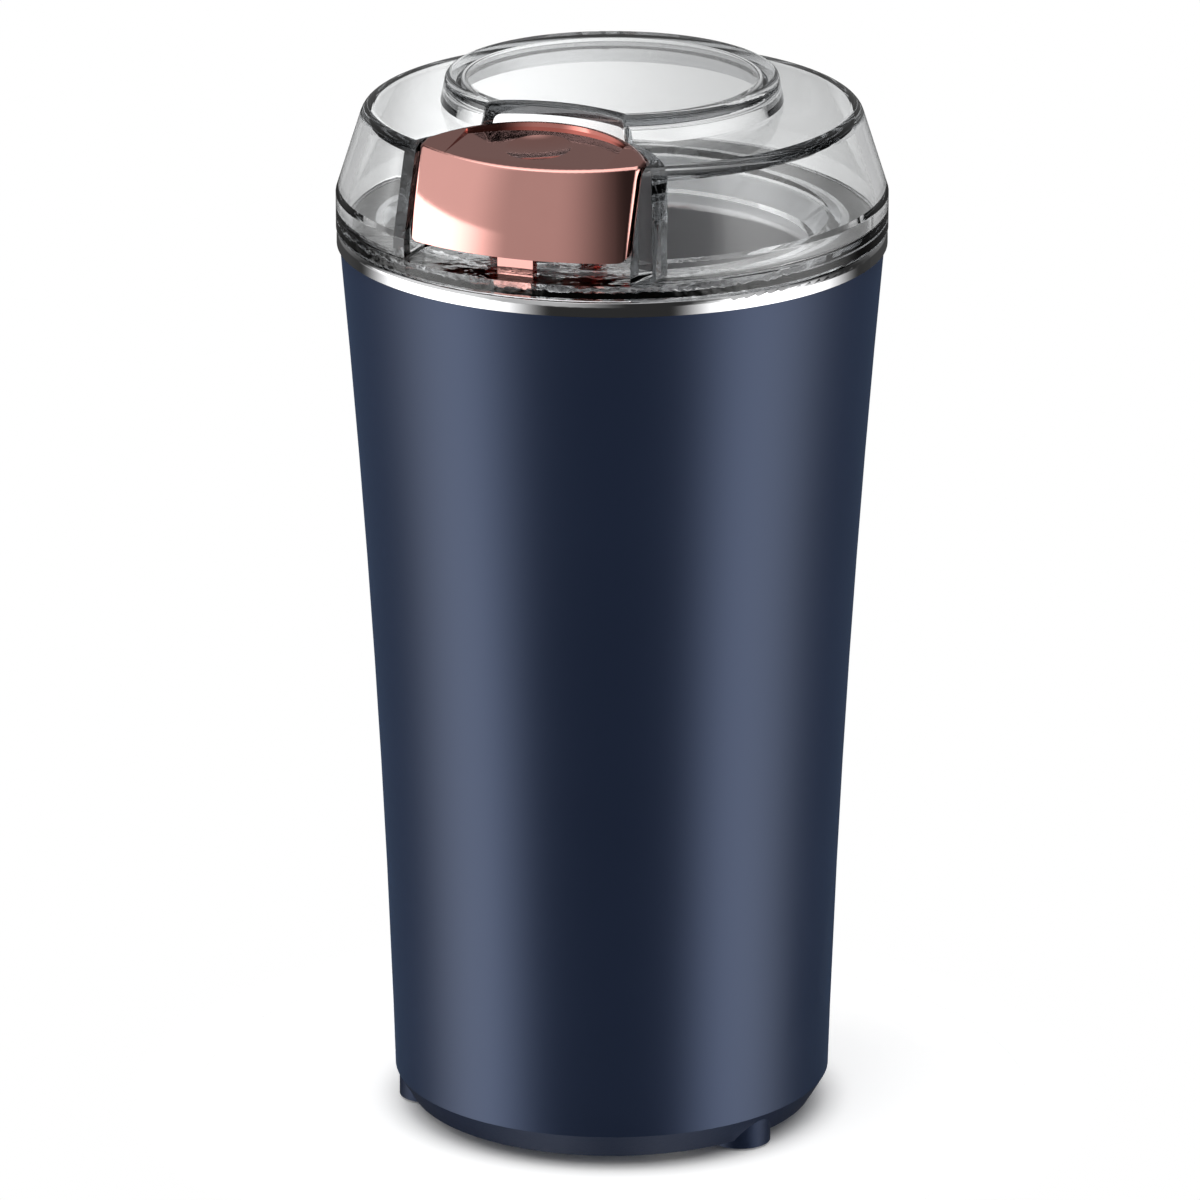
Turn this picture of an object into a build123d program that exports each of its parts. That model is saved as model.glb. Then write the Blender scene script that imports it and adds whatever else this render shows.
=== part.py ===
from build123d import *

import os
from math import cos, degrees, hypot, pi, radians, sin, sqrt, tan

# An electric blade coffee grinder. A tapered housing stands on a base with three round feet. A steel bowl
# drops in from above and its bright rolled rim closes the top. The clear lid has a raised crown and a pocket
# that holds the push button. The button's stem reaches through the rim onto a rod, and the rod works the
# lever switch of the motor that hangs under the bowl.
# The frame stands on the floor at the middle of the feet, +Z up, with the button facing -Y. Millimetres.

# Heights of the outside, from the floor up
PAD_PROUD = 0.4
FOOT_DROP = 1.4
BASE_BAND = 4.4
HOUSING_HEIGHT = 145.8
RIM_HEIGHT = 3.0
LID_BAND = 6.0
LID_TAPER = 14.6
DECK_RISE = 0.9
CROWN_RISE = 4.5

# Radii of the outside
HOUSING_LOW_RADIUS = 37.05
HOUSING_TOP_RADIUS = 45.4
HOUSING_WAIST = 1.1
BAND_SLOPE = 2.65
RIM_PROUD = 0.5
LID_PROUD = 0.1
LID_SLOPE = 4.7
CROWN_INSET = 18.4
CROWN_DRAFT = 0.9

# Clearances: sliding in one body, a shaft in its bearing, a press fit, pieces that move apart
FIT = 0.15
RUN = 0.05
SNUG = 0.02
GAP = 0.3

# Housing and base
HOUSING_WALL = 2.2
BASE_FLOOR = 2.2
UPSTAND_HEIGHT = 3.3
UPSTAND_WALL = 1.8
FOOT_RADIUS = 5.1
FOOT_INSET = 5.75
FOOT_ANGLES = (-66, 66, 180)
PAD_RADIUS = 3.5
PAD_SINK = 0.8
VENT_COUNT = 12
VENT_LENGTH = 13.0
VENT_WIDTH = 2.4
VENT_RING = 16.0
BOSS_HEIGHT = 6.0
BASE_SCREW_RADIUS = 1.5
BASE_SCREW_LENGTH = 18.0
BASE_HEAD_RADIUS = 2.8
BASE_HEAD_HEIGHT = 2.0
BASE_HEAD_SINK = 3.2
BASE_HEAD_WALL = 0.6
DRIVE_LENGTH = 3.0
DRIVE_WIDTH = 0.7
DRIVE_DEPTH = 0.9

# Bush where the supply cord enters, at the back
BUSH_RISE = 10.8
BUSH_BORE = 3.1
BUSH_NECK = 5.0
BUSH_FLANGE = 6.4
BUSH_FLANGE_DEPTH = 1.4
BUSH_COLLAR_DEPTH = 2.4
BUSH_COLLAR_TAPER = 0.8
SADDLE_DROP = 3.0

# Steel bowl
BOWL_SHEET = 1.0
BOWL_DEPTH = 49.0
BOWL_CORNER = 8.0
BOWL_FIT = 0.3
FLARE_HEIGHT = 5.5
FLARE_WIDTH = 5.0
FLARE_ROUND = 1.5
RIM_ROUND = 1.3
GASKET_HEIGHT = 0.8
SHAFT_OPENING = 6.0
STUD_RADIUS = 1.5
STUD_RING = 24.6
STUD_ANGLES = (-60, 60, 180)
STUD_END = 0.4
STUD_ROOT = 0.7
NUT_RADIUS = 3.0
NUT_HEIGHT = 2.2

# Inner frame that carries bowl, motor and switch
FRAME_WALL = 1.6
FRAME_FLOOR = 3.0
FRAME_FLANGE = 2.5
FRAME_TOP_DROP = 6.5
SEAT_RISE = 3.5
SEAT_RADIUS = 21.5
SEAT_WIDTH = 2.0
POST_RADIUS = 2.9
POST_ANGLES = (-140, -40, 40, 140)
POST_BORE_DEPTH = 14.0
GUIDE_WIDTH = 1.5

# Lid, its pocket and the push button
LID_WALL = 2.6
LID_LEDGE = 2.4
LID_FIT = 0.5
COLLAR_DEPTH = 3.2
COLLAR_WALL = 2.0
SHOULDER_ROUND = 2.6
CROWN_ROUND = 1.2
BAND_ROUND = 0.8
POCKET_GAP = 0.5
POCKET_WALL = 2.6
POCKET_ROUND = 0.8
BUTTON_HALF = 19.4
BUTTON_DEPTH = 23.9
BUTTON_ARC = 22.7
BUTTON_FLUSH = 0.1
BUTTON_DROP = 0.45
BUTTON_CLIMB = 3.1
BUTTON_WALL = 1.8
BUTTON_TOP = 2.4
BUTTON_ROUND = 0.9
ROUND_SHARE = 0.6
BUTTON_CORNER = 1.6
CORNER_SHARE = 0.65
BUTTON_TRAVEL = 3.2
BUTTON_STOP = 0.4
BUTTON_CHIN = 2.0
BUTTON_BULGE = 0.7
DISH_LIP = 1.3
DISH_HALF = 14.0
DISH_STEP = 0.8
DISH_SETBACK = 2.5
THUMB_RADIUS = 5.5
THUMB_DEPTH = 0.6
THUMB_SETBACK = 9.2
STEM_WIDTH = 6.2
STEM_THICK = 1.8
STEM_INSET = 3.9
STEM_SLACK = 0.4
HOOK_WIDTH = 4.0
HOOK_THICK = 1.6
HOOK_SPREAD = 8.0
HOOK_BARB = 0.9
HOOK_BARB_HEIGHT = 1.6
HOOK_SETBACK = 5.2

# Button spring
SPRING_RADIUS = 3.6
SPRING_WIRE = 0.8
SPRING_TURNS = 6
SPRING_SETBACK = 10.5
SPRING_SLACK = 0.2
PEG_CLEAR = 0.5
PEG_HEIGHT = 2.6

# Push rod and lever switch
ROD_THICK = 1.6
ROD_JOG = 2.0
ROD_JOG_DROP = 8.0
ROD_FOOT = 2.0
ROD_FOOT_DEPTH = 3.0
NUB_RADIUS = 1.0
SWITCH_LENGTH = 20.0
SWITCH_DEPTH = 6.4
SWITCH_HEIGHT = 10.0
SWITCH_PLATE = 1.7
PLATE_MARGIN = 1.0
LEVER_ARM = 14.5
LEVER_PIVOT = 8.5
LEVER_LENGTH = 17.0
LEVER_WIDTH = 3.4
LEVER_SHEET = 0.5
LEVER_BARREL = 0.9
LEVER_PIN = 0.5
PIVOT_LIFT = 1.2
EAR_THICK = 1.0
EAR_RADIUS = 1.2
PLUNGER_ARM = 5.0
PLUNGER_RADIUS = 1.2
PLUNGER_SEAT = 3.0
SWITCH_SCREW_RADIUS = 1.0
SWITCH_SCREW_SPREAD = 4.8
SWITCH_HEAD_RADIUS = 1.9
SWITCH_HEAD_HEIGHT = 1.2
TAB_WIDTH = 3.2
TAB_THICK = 0.6
TAB_LENGTH = 6.0
TAB_SPREAD = 6.0
LEAD_RADIUS = 0.9
LEAD_BEND = 3.2
LEAD_JOG = 6.0
LEAD_COIL_ANGLE = 44

# Motor
SHAFT_RADIUS = 3.0
SHAFT_TAIL = 2.0
MOTOR_GAP = 1.4
DAMPER_HEIGHT = 3.0
DAMPER_RADIUS = 3.6
MOUNT_CLEAR = 1.7
MOUNT_SCREW_RADIUS = 1.5
MOUNT_SCREW_LENGTH = 10.0
MOUNT_HEAD_RADIUS = 2.8
MOUNT_HEAD_HEIGHT = 2.0
PLATE_THICK = 3.0
UPPER_SPAN = 12.5
STACK_SHARE = 0.6
LOWER_SPAN = 23.0
LEG_RADIUS = 2.4
HUB_RADIUS = 8.5
HUB_RISE = 4.6
HUB_DROP = 3.6
BEARING_RADIUS = 6.0
BEARING_HEIGHT = 8.0
COOLING_WEB = 3.2
BOLT_RADIUS = 1.5
BOLT_HEAD_RADIUS = 2.5
BOLT_HEAD_HEIGHT = 2.0
YOKE_SHARE = 0.18
AIR_GAP = 0.4
SHOE_SHARE = 0.1
SHOE_ANGLE = 52
NECK_HALF = 10.0
COIL_OVERHANG = 6.0
COIL_ANGLE = 48
COIL_CLEAR = 0.3
ARMATURE_SHARE = 0.54
SLOT_COUNT = 12
SLOT_WIDTH = 2.4
SLOT_DEPTH = 5.0
WINDING_INSET = 2.0
WINDING_HEIGHT = 7.0
WINDING_SLOPE = 2.4
COMMUTATOR_RADIUS = 9.0
COMMUTATOR_HEIGHT = 10.0
COMMUTATOR_GROOVE = 0.5
COMMUTATOR_GROOVE_DEPTH = 0.8
BRUSH_WIDTH = 5.0
BRUSH_HEIGHT = 7.0
BRUSH_SHARE = 0.61
HOLDER_WALL = 1.0
HOLDER_CLEAR = 0.2
HOLDER_SETBACK = 2.0
HOLDER_INSET = 2.5
LEAF_THICK = 0.3
LEAF_FOLDS = 4
LEAF_WIDTH = 3.6

# Seal, hub, blade and nut on the shaft
SEAL_LIP = 1.0
SEAL_FLANGE = 1.4
BLADE_HUB_RADIUS = 7.0
BLADE_HUB_HEIGHT = 4.0
BLADE_SHEET = 1.4
BLADE_TIP_GAP = 4.0
BLADE_FLAT = 9.0
BLADE_RISE = 4.5
BLADE_DIP = 1.6
BLADE_ROOT = 6.5
BLADE_TIP = 2.4
BLADE_EDGE = 2.2
CAP_NUT_RADIUS = 5.6
CAP_NUT_HEIGHT = 3.2
CAP_DOME_RADIUS = 4.4
CAP_DOME_HEIGHT = 3.0
SHAFT_REACH = 4.4

# Levels of the outside
foot_z = PAD_PROUD
base_z = foot_z + FOOT_DROP
parting_z = base_z + BASE_BAND
shoulder_z = parting_z + HOUSING_HEIGHT
rim_z = shoulder_z + RIM_HEIGHT
band_z = rim_z + LID_BAND
deck_z = band_z + LID_TAPER
crown_foot_z = deck_z + DECK_RISE
crown_z = crown_foot_z + CROWN_RISE

# Radii of the outside
base_radius = HOUSING_LOW_RADIUS - BAND_SLOPE
rim_radius = HOUSING_TOP_RADIUS + RIM_PROUD
lid_radius = rim_radius + LID_PROUD
deck_radius = lid_radius - LID_SLOPE
crown_radius = lid_radius - CROWN_INSET

# The housing's side is one shallow arc, hollow towards the outside
side_run = HOUSING_TOP_RADIUS - HOUSING_LOW_RADIUS
side_chord = hypot(side_run, HOUSING_HEIGHT)
side_arc = (side_chord**2 / 4 + HOUSING_WAIST**2) / (2 * HOUSING_WAIST)
side_back = side_arc - HOUSING_WAIST
side_centre_r = (HOUSING_TOP_RADIUS + HOUSING_LOW_RADIUS) / 2 + side_back * HOUSING_HEIGHT / side_chord
side_centre_z = (parting_z + shoulder_z) / 2 - side_back * side_run / side_chord


def side(height):
    """Radius of the housing's outside at a height."""
    return side_centre_r - sqrt(side_arc**2 - (height - side_centre_z) ** 2)


def inside(height):
    """Radius of the housing's inside at a height."""
    return side(height) - HOUSING_WALL


def spot(radius, angle):
    """Plan point at a radius and an angle in degrees from the front towards +X."""
    return (radius * sin(radians(angle)), -radius * cos(radians(angle)))


def spots(radius, angles):
    """Plan points on one radius."""
    return [spot(radius, angle) for angle in angles]


def quarter_turns(first):
    """Four angles a quarter turn apart."""
    return [first + 90 * turn for turn in range(4)]


# Levels of the inside, from the rim down. The motor's core takes a share of the room above the base, and
# the rest is left for air.
pocket_z = rim_z + LID_LEDGE
button_z = pocket_z + BUTTON_TRAVEL + BUTTON_STOP
button_front_z = deck_z - BUTTON_DROP
ceiling_z = button_front_z - BUTTON_TOP
neck_z = rim_z - BOWL_SHEET - GASKET_HEIGHT
bowl_floor_z = rim_z - BOWL_DEPTH
bowl_under_z = bowl_floor_z - BOWL_SHEET
frame_top_z = rim_z - FRAME_TOP_DROP
frame_floor_z = bowl_under_z - SEAT_RISE
frame_under_z = frame_floor_z - FRAME_FLOOR
bracket_z = frame_under_z - DAMPER_HEIGHT
bracket_low_z = bracket_z - PLATE_THICK
stack_top_z = bracket_low_z - UPPER_SPAN
base_floor_z = base_z + BASE_FLOOR
tail_reach = LOWER_SPAN - HUB_DROP + BEARING_HEIGHT + SHAFT_TAIL
stack_height = STACK_SHARE * (stack_top_z - base_floor_z - tail_reach)
stack_low_z = stack_top_z - stack_height
tail_z = stack_low_z - LOWER_SPAN
tail_low_z = tail_z - PLATE_THICK
boss_z = base_floor_z + BOSS_HEIGHT

# Push rod and switch levels
rod_top_z = rim_z - GAP
rod_jog_z = rim_z - ROD_JOG_DROP
rod_foot_z = frame_under_z - GAP - ROD_FOOT
nub_z = rod_foot_z - NUB_RADIUS
lever_angle = degrees(BUTTON_TRAVEL / LEVER_ARM)
lever_lift = LEVER_ARM * tan(radians(lever_angle)) + (LEVER_SHEET + GAP) / cos(radians(lever_angle))
pivot_z = nub_z - lever_lift
switch_z = pivot_z - PIVOT_LIFT
switch_low_z = switch_z - SWITCH_HEIGHT

# The rod runs as far out as the housing's taper lets its foot go, and frame and bowl fill what is inside it
rod_out = sqrt((inside(rod_foot_z - BUTTON_TRAVEL) - GAP) ** 2 - (STEM_WIDTH / 2) ** 2)
rod_in = rod_out - ROD_THICK
frame_radius = rod_in - GAP
cup_radius = frame_radius - FRAME_WALL
bowl_radius = cup_radius - BOWL_FIT - BOWL_SHEET
mouth_radius = bowl_radius + FLARE_WIDTH
flare_slope = FLARE_WIDTH / FLARE_HEIGHT
stem_out = lid_radius - STEM_INSET
stem_in = stem_out - STEM_THICK
switch_out = sqrt((inside(switch_low_z) - GAP) ** 2 - (SWITCH_LENGTH / 2) ** 2)
switch_in = switch_out - SWITCH_DEPTH
switch_mid = (switch_out + switch_in) / 2
nub_x = LEVER_ARM - LEVER_PIVOT

# Motor radii
post_ring = base_radius - BASE_HEAD_WALL - GAP - BASE_HEAD_RADIUS
stator_radius = post_ring - POST_RADIUS - MOTOR_GAP
yoke = YOKE_SHARE * stator_radius
yoke_radius = stator_radius - yoke
bolt_ring = stator_radius - yoke / 2
armature_radius = ARMATURE_SHARE * stator_radius
winding_radius = armature_radius - WINDING_INSET
mount_ring = SEAT_RADIUS - SEAT_WIDTH / 2 - MOUNT_HEAD_RADIUS - MOUNT_CLEAR
cooling_room = bolt_ring - BOLT_RADIUS - FIT - HUB_RADIUS
cooling_radius = cooling_room / 2 - COOLING_WEB
cooling_ring = HUB_RADIUS + cooling_room / 2
bore_radius = armature_radius + AIR_GAP
shoe_radius = bore_radius + SHOE_SHARE * stator_radius
commutator_z = tail_z + HUB_DROP + GAP
brush_z = commutator_z + COMMUTATOR_HEIGHT / 2
holder_start = COMMUTATOR_RADIUS + HOLDER_SETBACK
holder_end = stator_radius - HOLDER_INSET

# Places on the plan
foot_spots = spots(HOUSING_LOW_RADIUS - FOOT_INSET, FOOT_ANGLES)
post_spots = spots(post_ring, POST_ANGLES)
mount_spots = spots(mount_ring, quarter_turns(45))
leg_spots = spots(bolt_ring, quarter_turns(45))
bolt_spots = [(-bolt_ring, 0), (bolt_ring, 0)]
stud_spots = spots(STUD_RING, STUD_ANGLES)
button_back = lid_radius - BUTTON_DEPTH
arc_centre = button_back + BUTTON_ARC
spring_spot = (0, -(button_back + SPRING_SETBACK))
hook_reach = button_back + HOOK_SETBACK
bush_z = parting_z + BUSH_RISE


def corner(section, radius, height):
    """The corner of a section that lies nearest to a radius and a height."""
    return section.vertices().sort_by_distance((radius, height))[0]


def pegs(places, radius, low, high, mode=Mode.ADD):
    """Upright round pegs or holes between two heights, in the part being built."""
    with BuildSketch(Plane.XY.offset(low)) as plan:
        with Locations(*places):
            Circle(radius)
    extrude(plan.sketch, amount=high - low, mode=mode)


def block(x_range, y_range, z_range, mode=Mode.ADD):
    """A block between stated limits, in the part being built."""
    middle = tuple((low + high) / 2 for low, high in (x_range, y_range, z_range))
    size = [high - low for low, high in (x_range, y_range, z_range)]
    with Locations(middle):
        Box(*size, mode=mode)


def pocket_plan(grow, height):
    """Plan of the button at a height, grown by a gap: a round back between two straight sides."""
    with BuildSketch(Plane.XY.offset(height)) as plan:
        with Locations((0, -arc_centre)):
            Circle(BUTTON_ARC + grow)
        Rectangle(2 * (BUTTON_HALF + grow), 4 * lid_radius, mode=Mode.INTERSECT)
    return plan.sketch


def taper(height):
    """Radius of the lid's tapered outside at a height."""
    return lid_radius - LID_SLOPE * (height - band_z) / LID_TAPER


def front_section(inset):
    """Section of the button's front, set in from the lid's outside and rounded out in the middle."""
    middle = (button_z + crown_z) / 2
    low_end = (taper(button_z) - inset - BUTTON_BULGE, button_z)
    high_end = (taper(crown_z) - inset - BUTTON_BULGE, crown_z)
    with BuildSketch(Plane.XZ) as plan:
        with BuildLine():
            ThreePointArc(low_end, (taper(middle) - inset, middle), high_end)
            Polyline(high_end, (0, crown_z), (0, button_z), low_end)
        make_face()
    return plan.sketch


def screws(places, radius, low, length, head_radius, head_height, head_below=True):
    """Upright pan head screws with a crossed recess, in the part being built."""
    if head_below:
        shank = (low + head_height, low + head_height + length)
        head = (low, low + head_height)
        recess = (low, low + DRIVE_DEPTH)
    else:
        shank = (low, low + length)
        head = (low + length, low + length + head_height)
        recess = (head[1] - DRIVE_DEPTH, head[1])
    pegs(places, radius, *shank)
    pegs(places, head_radius, *head)
    with BuildSketch(Plane.XY.offset(recess[0])) as cross:
        with Locations(*places):
            Rectangle(DRIVE_LENGTH, DRIVE_WIDTH)
            Rectangle(DRIVE_WIDTH, DRIVE_LENGTH)
    extrude(cross.sketch, amount=recess[1] - recess[0], mode=Mode.SUBTRACT)


# Housing: painted tapered shell with a neck under the rim and a notch for the cord bush
with BuildPart() as housing:
    middle_z = (parting_z + shoulder_z) / 2
    neck_radius = rim_radius - BOWL_SHEET - GAP
    neck_inside = inside(shoulder_z)
    with BuildSketch(Plane.XZ):
        with BuildLine():
            ThreePointArc(
                (side(parting_z), parting_z), (side(middle_z), middle_z), (side(shoulder_z), shoulder_z)
            )
            Polyline(
                (side(shoulder_z), shoulder_z),
                (neck_radius, shoulder_z),
                (neck_radius, neck_z),
                (neck_inside, neck_z),
                (neck_inside, shoulder_z),
            )
            ThreePointArc(
                (inside(shoulder_z), shoulder_z), (inside(middle_z), middle_z), (inside(parting_z), parting_z)
            )
            Line((inside(parting_z), parting_z), (side(parting_z), parting_z))
        make_face()
    revolve(axis=Axis.Z)
    with BuildSketch(Plane.XZ.offset(-side(shoulder_z))):
        with Locations((0, bush_z)):
            Circle(BUSH_NECK + FIT)
        with Locations((0, (bush_z + parting_z) / 2)):
            Rectangle(2 * (BUSH_NECK + FIT), bush_z - parting_z)
    extrude(amount=side(shoulder_z) - inside(parting_z) / 2, mode=Mode.SUBTRACT)

# Saddle of the base that fills the notch below the bush
saddle_z = bush_z - SADDLE_DROP
with BuildPart() as bush_saddle:
    with BuildSketch(Plane.XZ):
        Polygon(
            (inside(parting_z), parting_z),
            (side(parting_z), parting_z),
            (side(saddle_z), saddle_z),
            (inside(saddle_z), saddle_z),
            align=None,
        )
    revolve(axis=Axis.Z)
    block((-BUSH_NECK, BUSH_NECK), (0, lid_radius), (parting_z, saddle_z), mode=Mode.INTERSECT)
    with BuildSketch(Plane.XZ):
        with Locations((0, bush_z)):
            Circle(BUSH_NECK + FIT)
    extrude(amount=-lid_radius, mode=Mode.SUBTRACT)

# Base: dished cover with a sloping band, three feet, screw bosses and cooling slots
upstand_radius = inside(parting_z) - FIT
with BuildPart() as base_cover:
    with BuildSketch(Plane.XZ):
        Polygon(
            (0, base_z),
            (base_radius, base_z),
            (HOUSING_LOW_RADIUS, parting_z),
            (upstand_radius, parting_z),
            (upstand_radius, parting_z + UPSTAND_HEIGHT),
            (upstand_radius - UPSTAND_WALL, parting_z + UPSTAND_HEIGHT),
            (upstand_radius - UPSTAND_WALL, base_floor_z),
            (0, base_floor_z),
            align=None,
        )
    revolve(axis=Axis.Z)
    add(bush_saddle.part)
    pegs(foot_spots, FOOT_RADIUS, foot_z, parting_z)
    pegs(post_spots, POST_RADIUS + FIT, base_z, boss_z)
    pegs(foot_spots, PAD_RADIUS + FIT, foot_z, foot_z + PAD_SINK, mode=Mode.SUBTRACT)
    pegs(post_spots, BASE_HEAD_RADIUS + GAP, base_z, base_z + BASE_HEAD_SINK, mode=Mode.SUBTRACT)
    pegs(post_spots, BASE_SCREW_RADIUS + FIT, base_z, boss_z, mode=Mode.SUBTRACT)
    with BuildSketch(Plane.XY.offset(base_z)):
        with PolarLocations(VENT_RING, VENT_COUNT):
            SlotOverall(VENT_LENGTH, VENT_WIDTH)
    extrude(amount=BASE_FLOOR, mode=Mode.SUBTRACT)

with BuildPart() as foot_pads:
    pegs(foot_spots, PAD_RADIUS, 0, foot_z + PAD_SINK)

head_low_z = base_z + BASE_HEAD_SINK - BASE_HEAD_HEIGHT
with BuildPart() as base_screws:
    screws(post_spots, BASE_SCREW_RADIUS, head_low_z, BASE_SCREW_LENGTH, BASE_HEAD_RADIUS, BASE_HEAD_HEIGHT)

# Bush for the supply cord, held between the housing's notch and the saddle
bush_in = sqrt(inside(bush_z - BUSH_FLANGE) ** 2 - BUSH_FLANGE**2) - FIT
bush_out = side(bush_z + BUSH_FLANGE) + FIT
bush_axis = Axis((0, 0, bush_z), (0, 1, 0))
with BuildPart() as cord_bush:
    with BuildSketch(Plane.YZ):
        Polygon(
            (bush_in - BUSH_FLANGE_DEPTH, bush_z + BUSH_BORE),
            (bush_in - BUSH_FLANGE_DEPTH, bush_z + BUSH_FLANGE),
            (bush_in, bush_z + BUSH_FLANGE),
            (bush_in, bush_z + BUSH_NECK),
            (bush_out, bush_z + BUSH_NECK),
            (bush_out, bush_z + BUSH_FLANGE),
            (bush_out + BUSH_COLLAR_DEPTH, bush_z + BUSH_FLANGE - BUSH_COLLAR_TAPER),
            (bush_out + BUSH_COLLAR_DEPTH, bush_z + BUSH_BORE),
            align=None,
        )
    revolve(axis=bush_axis)

# Bowl: one drawn sheet from the shaft opening to the rolled rim, with studs under its floor
stud_low_z = frame_under_z - NUT_HEIGHT - STUD_END
flare_z = rim_z - FLARE_HEIGHT
with BuildPart() as grinding_bowl:
    with BuildSketch(Plane.XZ):
        with BuildLine() as sheet:
            Polyline(
                (SHAFT_OPENING, bowl_floor_z),
                (bowl_radius, bowl_floor_z),
                (bowl_radius, flare_z),
                (mouth_radius, rim_z),
                (rim_radius, rim_z),
                (rim_radius, shoulder_z + FIT),
            )
            fillet(corner(sheet, bowl_radius, bowl_floor_z), BOWL_CORNER)
            fillet(corner(sheet, bowl_radius, flare_z), FLARE_ROUND)
            fillet(corner(sheet, mouth_radius, rim_z), FLARE_ROUND)
            fillet(corner(sheet, rim_radius, rim_z), RIM_ROUND)
            offset(amount=BOWL_SHEET, side=Side.RIGHT)
        make_face()
    revolve(axis=Axis.Z)
    block(
        (-STEM_WIDTH / 2 - STEM_SLACK, STEM_WIDTH / 2 + STEM_SLACK),
        (-stem_out - STEM_SLACK, -stem_in + STEM_SLACK),
        (rim_z - BOWL_SHEET, rim_z),
        mode=Mode.SUBTRACT,
    )
    pegs(stud_spots, STUD_RADIUS, stud_low_z, bowl_under_z + STUD_ROOT)

with BuildPart() as bowl_gasket:
    with BuildSketch(Plane.XY.offset(neck_z)):
        Circle(neck_radius)
        Circle(neck_inside, mode=Mode.SUBTRACT)
    extrude(amount=GASKET_HEIGHT)

with BuildPart() as bowl_nuts:
    with BuildSketch(Plane.XY.offset(frame_under_z - NUT_HEIGHT)):
        with Locations(*stud_spots):
            RegularPolygon(NUT_RADIUS, 6)
            Circle(STUD_RADIUS + SNUG, mode=Mode.SUBTRACT)
    extrude(amount=NUT_HEIGHT)

# Inner frame: a cup round the bowl with a collar inside the housing, four posts and the switch plate
flange_z = frame_top_z - FRAME_FLANGE
rod_slot = STEM_WIDTH / 2 + STEM_SLACK
plate_low_z = switch_low_z - PLATE_MARGIN
with BuildPart() as inner_frame:
    with BuildSketch(Plane.XZ):
        Polygon(
            (HUB_RADIUS + GAP, frame_under_z),
            (frame_radius, frame_under_z),
            (frame_radius, flange_z),
            (inside(flange_z) - GAP, flange_z),
            (inside(flange_z) - GAP, frame_top_z),
            (cup_radius, frame_top_z),
            (cup_radius, frame_floor_z),
            (SEAT_RADIUS + SEAT_WIDTH / 2, frame_floor_z),
            (SEAT_RADIUS + SEAT_WIDTH / 2, bowl_under_z),
            (SEAT_RADIUS - SEAT_WIDTH / 2, bowl_under_z),
            (SEAT_RADIUS - SEAT_WIDTH / 2, frame_floor_z),
            (HUB_RADIUS + GAP, frame_floor_z),
            align=None,
        )
    revolve(axis=Axis.Z)
    for hand in (-1, 1):
        rib = sorted((hand * rod_slot, hand * (rod_slot + GUIDE_WIDTH)))
        block(rib, (-rod_out, -frame_radius + FRAME_WALL / 2), (frame_floor_z, flange_z))
    block((-rod_slot, rod_slot), (-rim_radius, -frame_radius), (flange_z, frame_top_z), mode=Mode.SUBTRACT)
    pegs(post_spots, POST_RADIUS, boss_z, frame_floor_z)
    plate_half = SWITCH_LENGTH / 2 + PLATE_MARGIN
    block((-plate_half, plate_half), (-switch_in, -switch_in + SWITCH_PLATE), (plate_low_z, frame_floor_z))
    pegs(post_spots, BASE_SCREW_RADIUS + SNUG, boss_z, boss_z + POST_BORE_DEPTH, mode=Mode.SUBTRACT)
    pegs(mount_spots, MOUNT_SCREW_RADIUS + FIT, frame_under_z, frame_floor_z, mode=Mode.SUBTRACT)
    pegs(stud_spots, STUD_RADIUS + FIT, frame_under_z, frame_floor_z, mode=Mode.SUBTRACT)
    with BuildSketch(Plane.XZ.offset(switch_in)):
        with Locations((-SWITCH_SCREW_SPREAD, switch_z - SWITCH_HEIGHT / 2)):
            Circle(SWITCH_SCREW_RADIUS + SNUG)
        with Locations((SWITCH_SCREW_SPREAD, switch_z - SWITCH_HEIGHT / 2)):
            Circle(SWITCH_SCREW_RADIUS + SNUG)
    extrude(amount=-SWITCH_PLATE, mode=Mode.SUBTRACT)

# Motor mounting: rubber dampers and screws that hang the motor from the frame
with BuildPart() as motor_dampers:
    pegs(mount_spots, DAMPER_RADIUS, bracket_z, frame_under_z)
    pegs(mount_spots, MOUNT_SCREW_RADIUS + FIT, bracket_z, frame_under_z, mode=Mode.SUBTRACT)

mount_low_z = frame_floor_z - MOUNT_SCREW_LENGTH
with BuildPart() as motor_screws:
    screws(
        mount_spots,
        MOUNT_SCREW_RADIUS,
        mount_low_z,
        MOUNT_SCREW_LENGTH,
        MOUNT_HEAD_RADIUS,
        MOUNT_HEAD_HEIGHT,
        head_below=False,
    )

# Motor brackets: a plate with a bearing hub, cooling holes and four legs that meet the stack
bearing_low_z = bracket_z + HUB_RISE - BEARING_HEIGHT
with BuildPart() as upper_bracket:
    pegs([(0, 0)], stator_radius - FIT, bracket_low_z, bracket_z)
    pegs([(0, 0)], HUB_RADIUS, bearing_low_z, bracket_z + HUB_RISE)
    pegs(leg_spots, LEG_RADIUS, stack_top_z, bracket_low_z)
    pegs([(0, 0)], BEARING_RADIUS + SNUG, bearing_low_z, bracket_z + HUB_RISE, mode=Mode.SUBTRACT)
    pegs(mount_spots, MOUNT_SCREW_RADIUS + SNUG, bracket_low_z, bracket_z, mode=Mode.SUBTRACT)
    pegs(bolt_spots, BOLT_RADIUS + FIT, bracket_low_z, bracket_z, mode=Mode.SUBTRACT)
    pegs(spots(cooling_ring, quarter_turns(0)), cooling_radius, bracket_low_z, bracket_z, mode=Mode.SUBTRACT)

with BuildPart() as upper_bearing:
    pegs([(0, 0)], BEARING_RADIUS, bearing_low_z, bracket_z + HUB_RISE)
    pegs([(0, 0)], SHAFT_RADIUS + RUN, bearing_low_z, bracket_z + HUB_RISE, mode=Mode.SUBTRACT)

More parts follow.
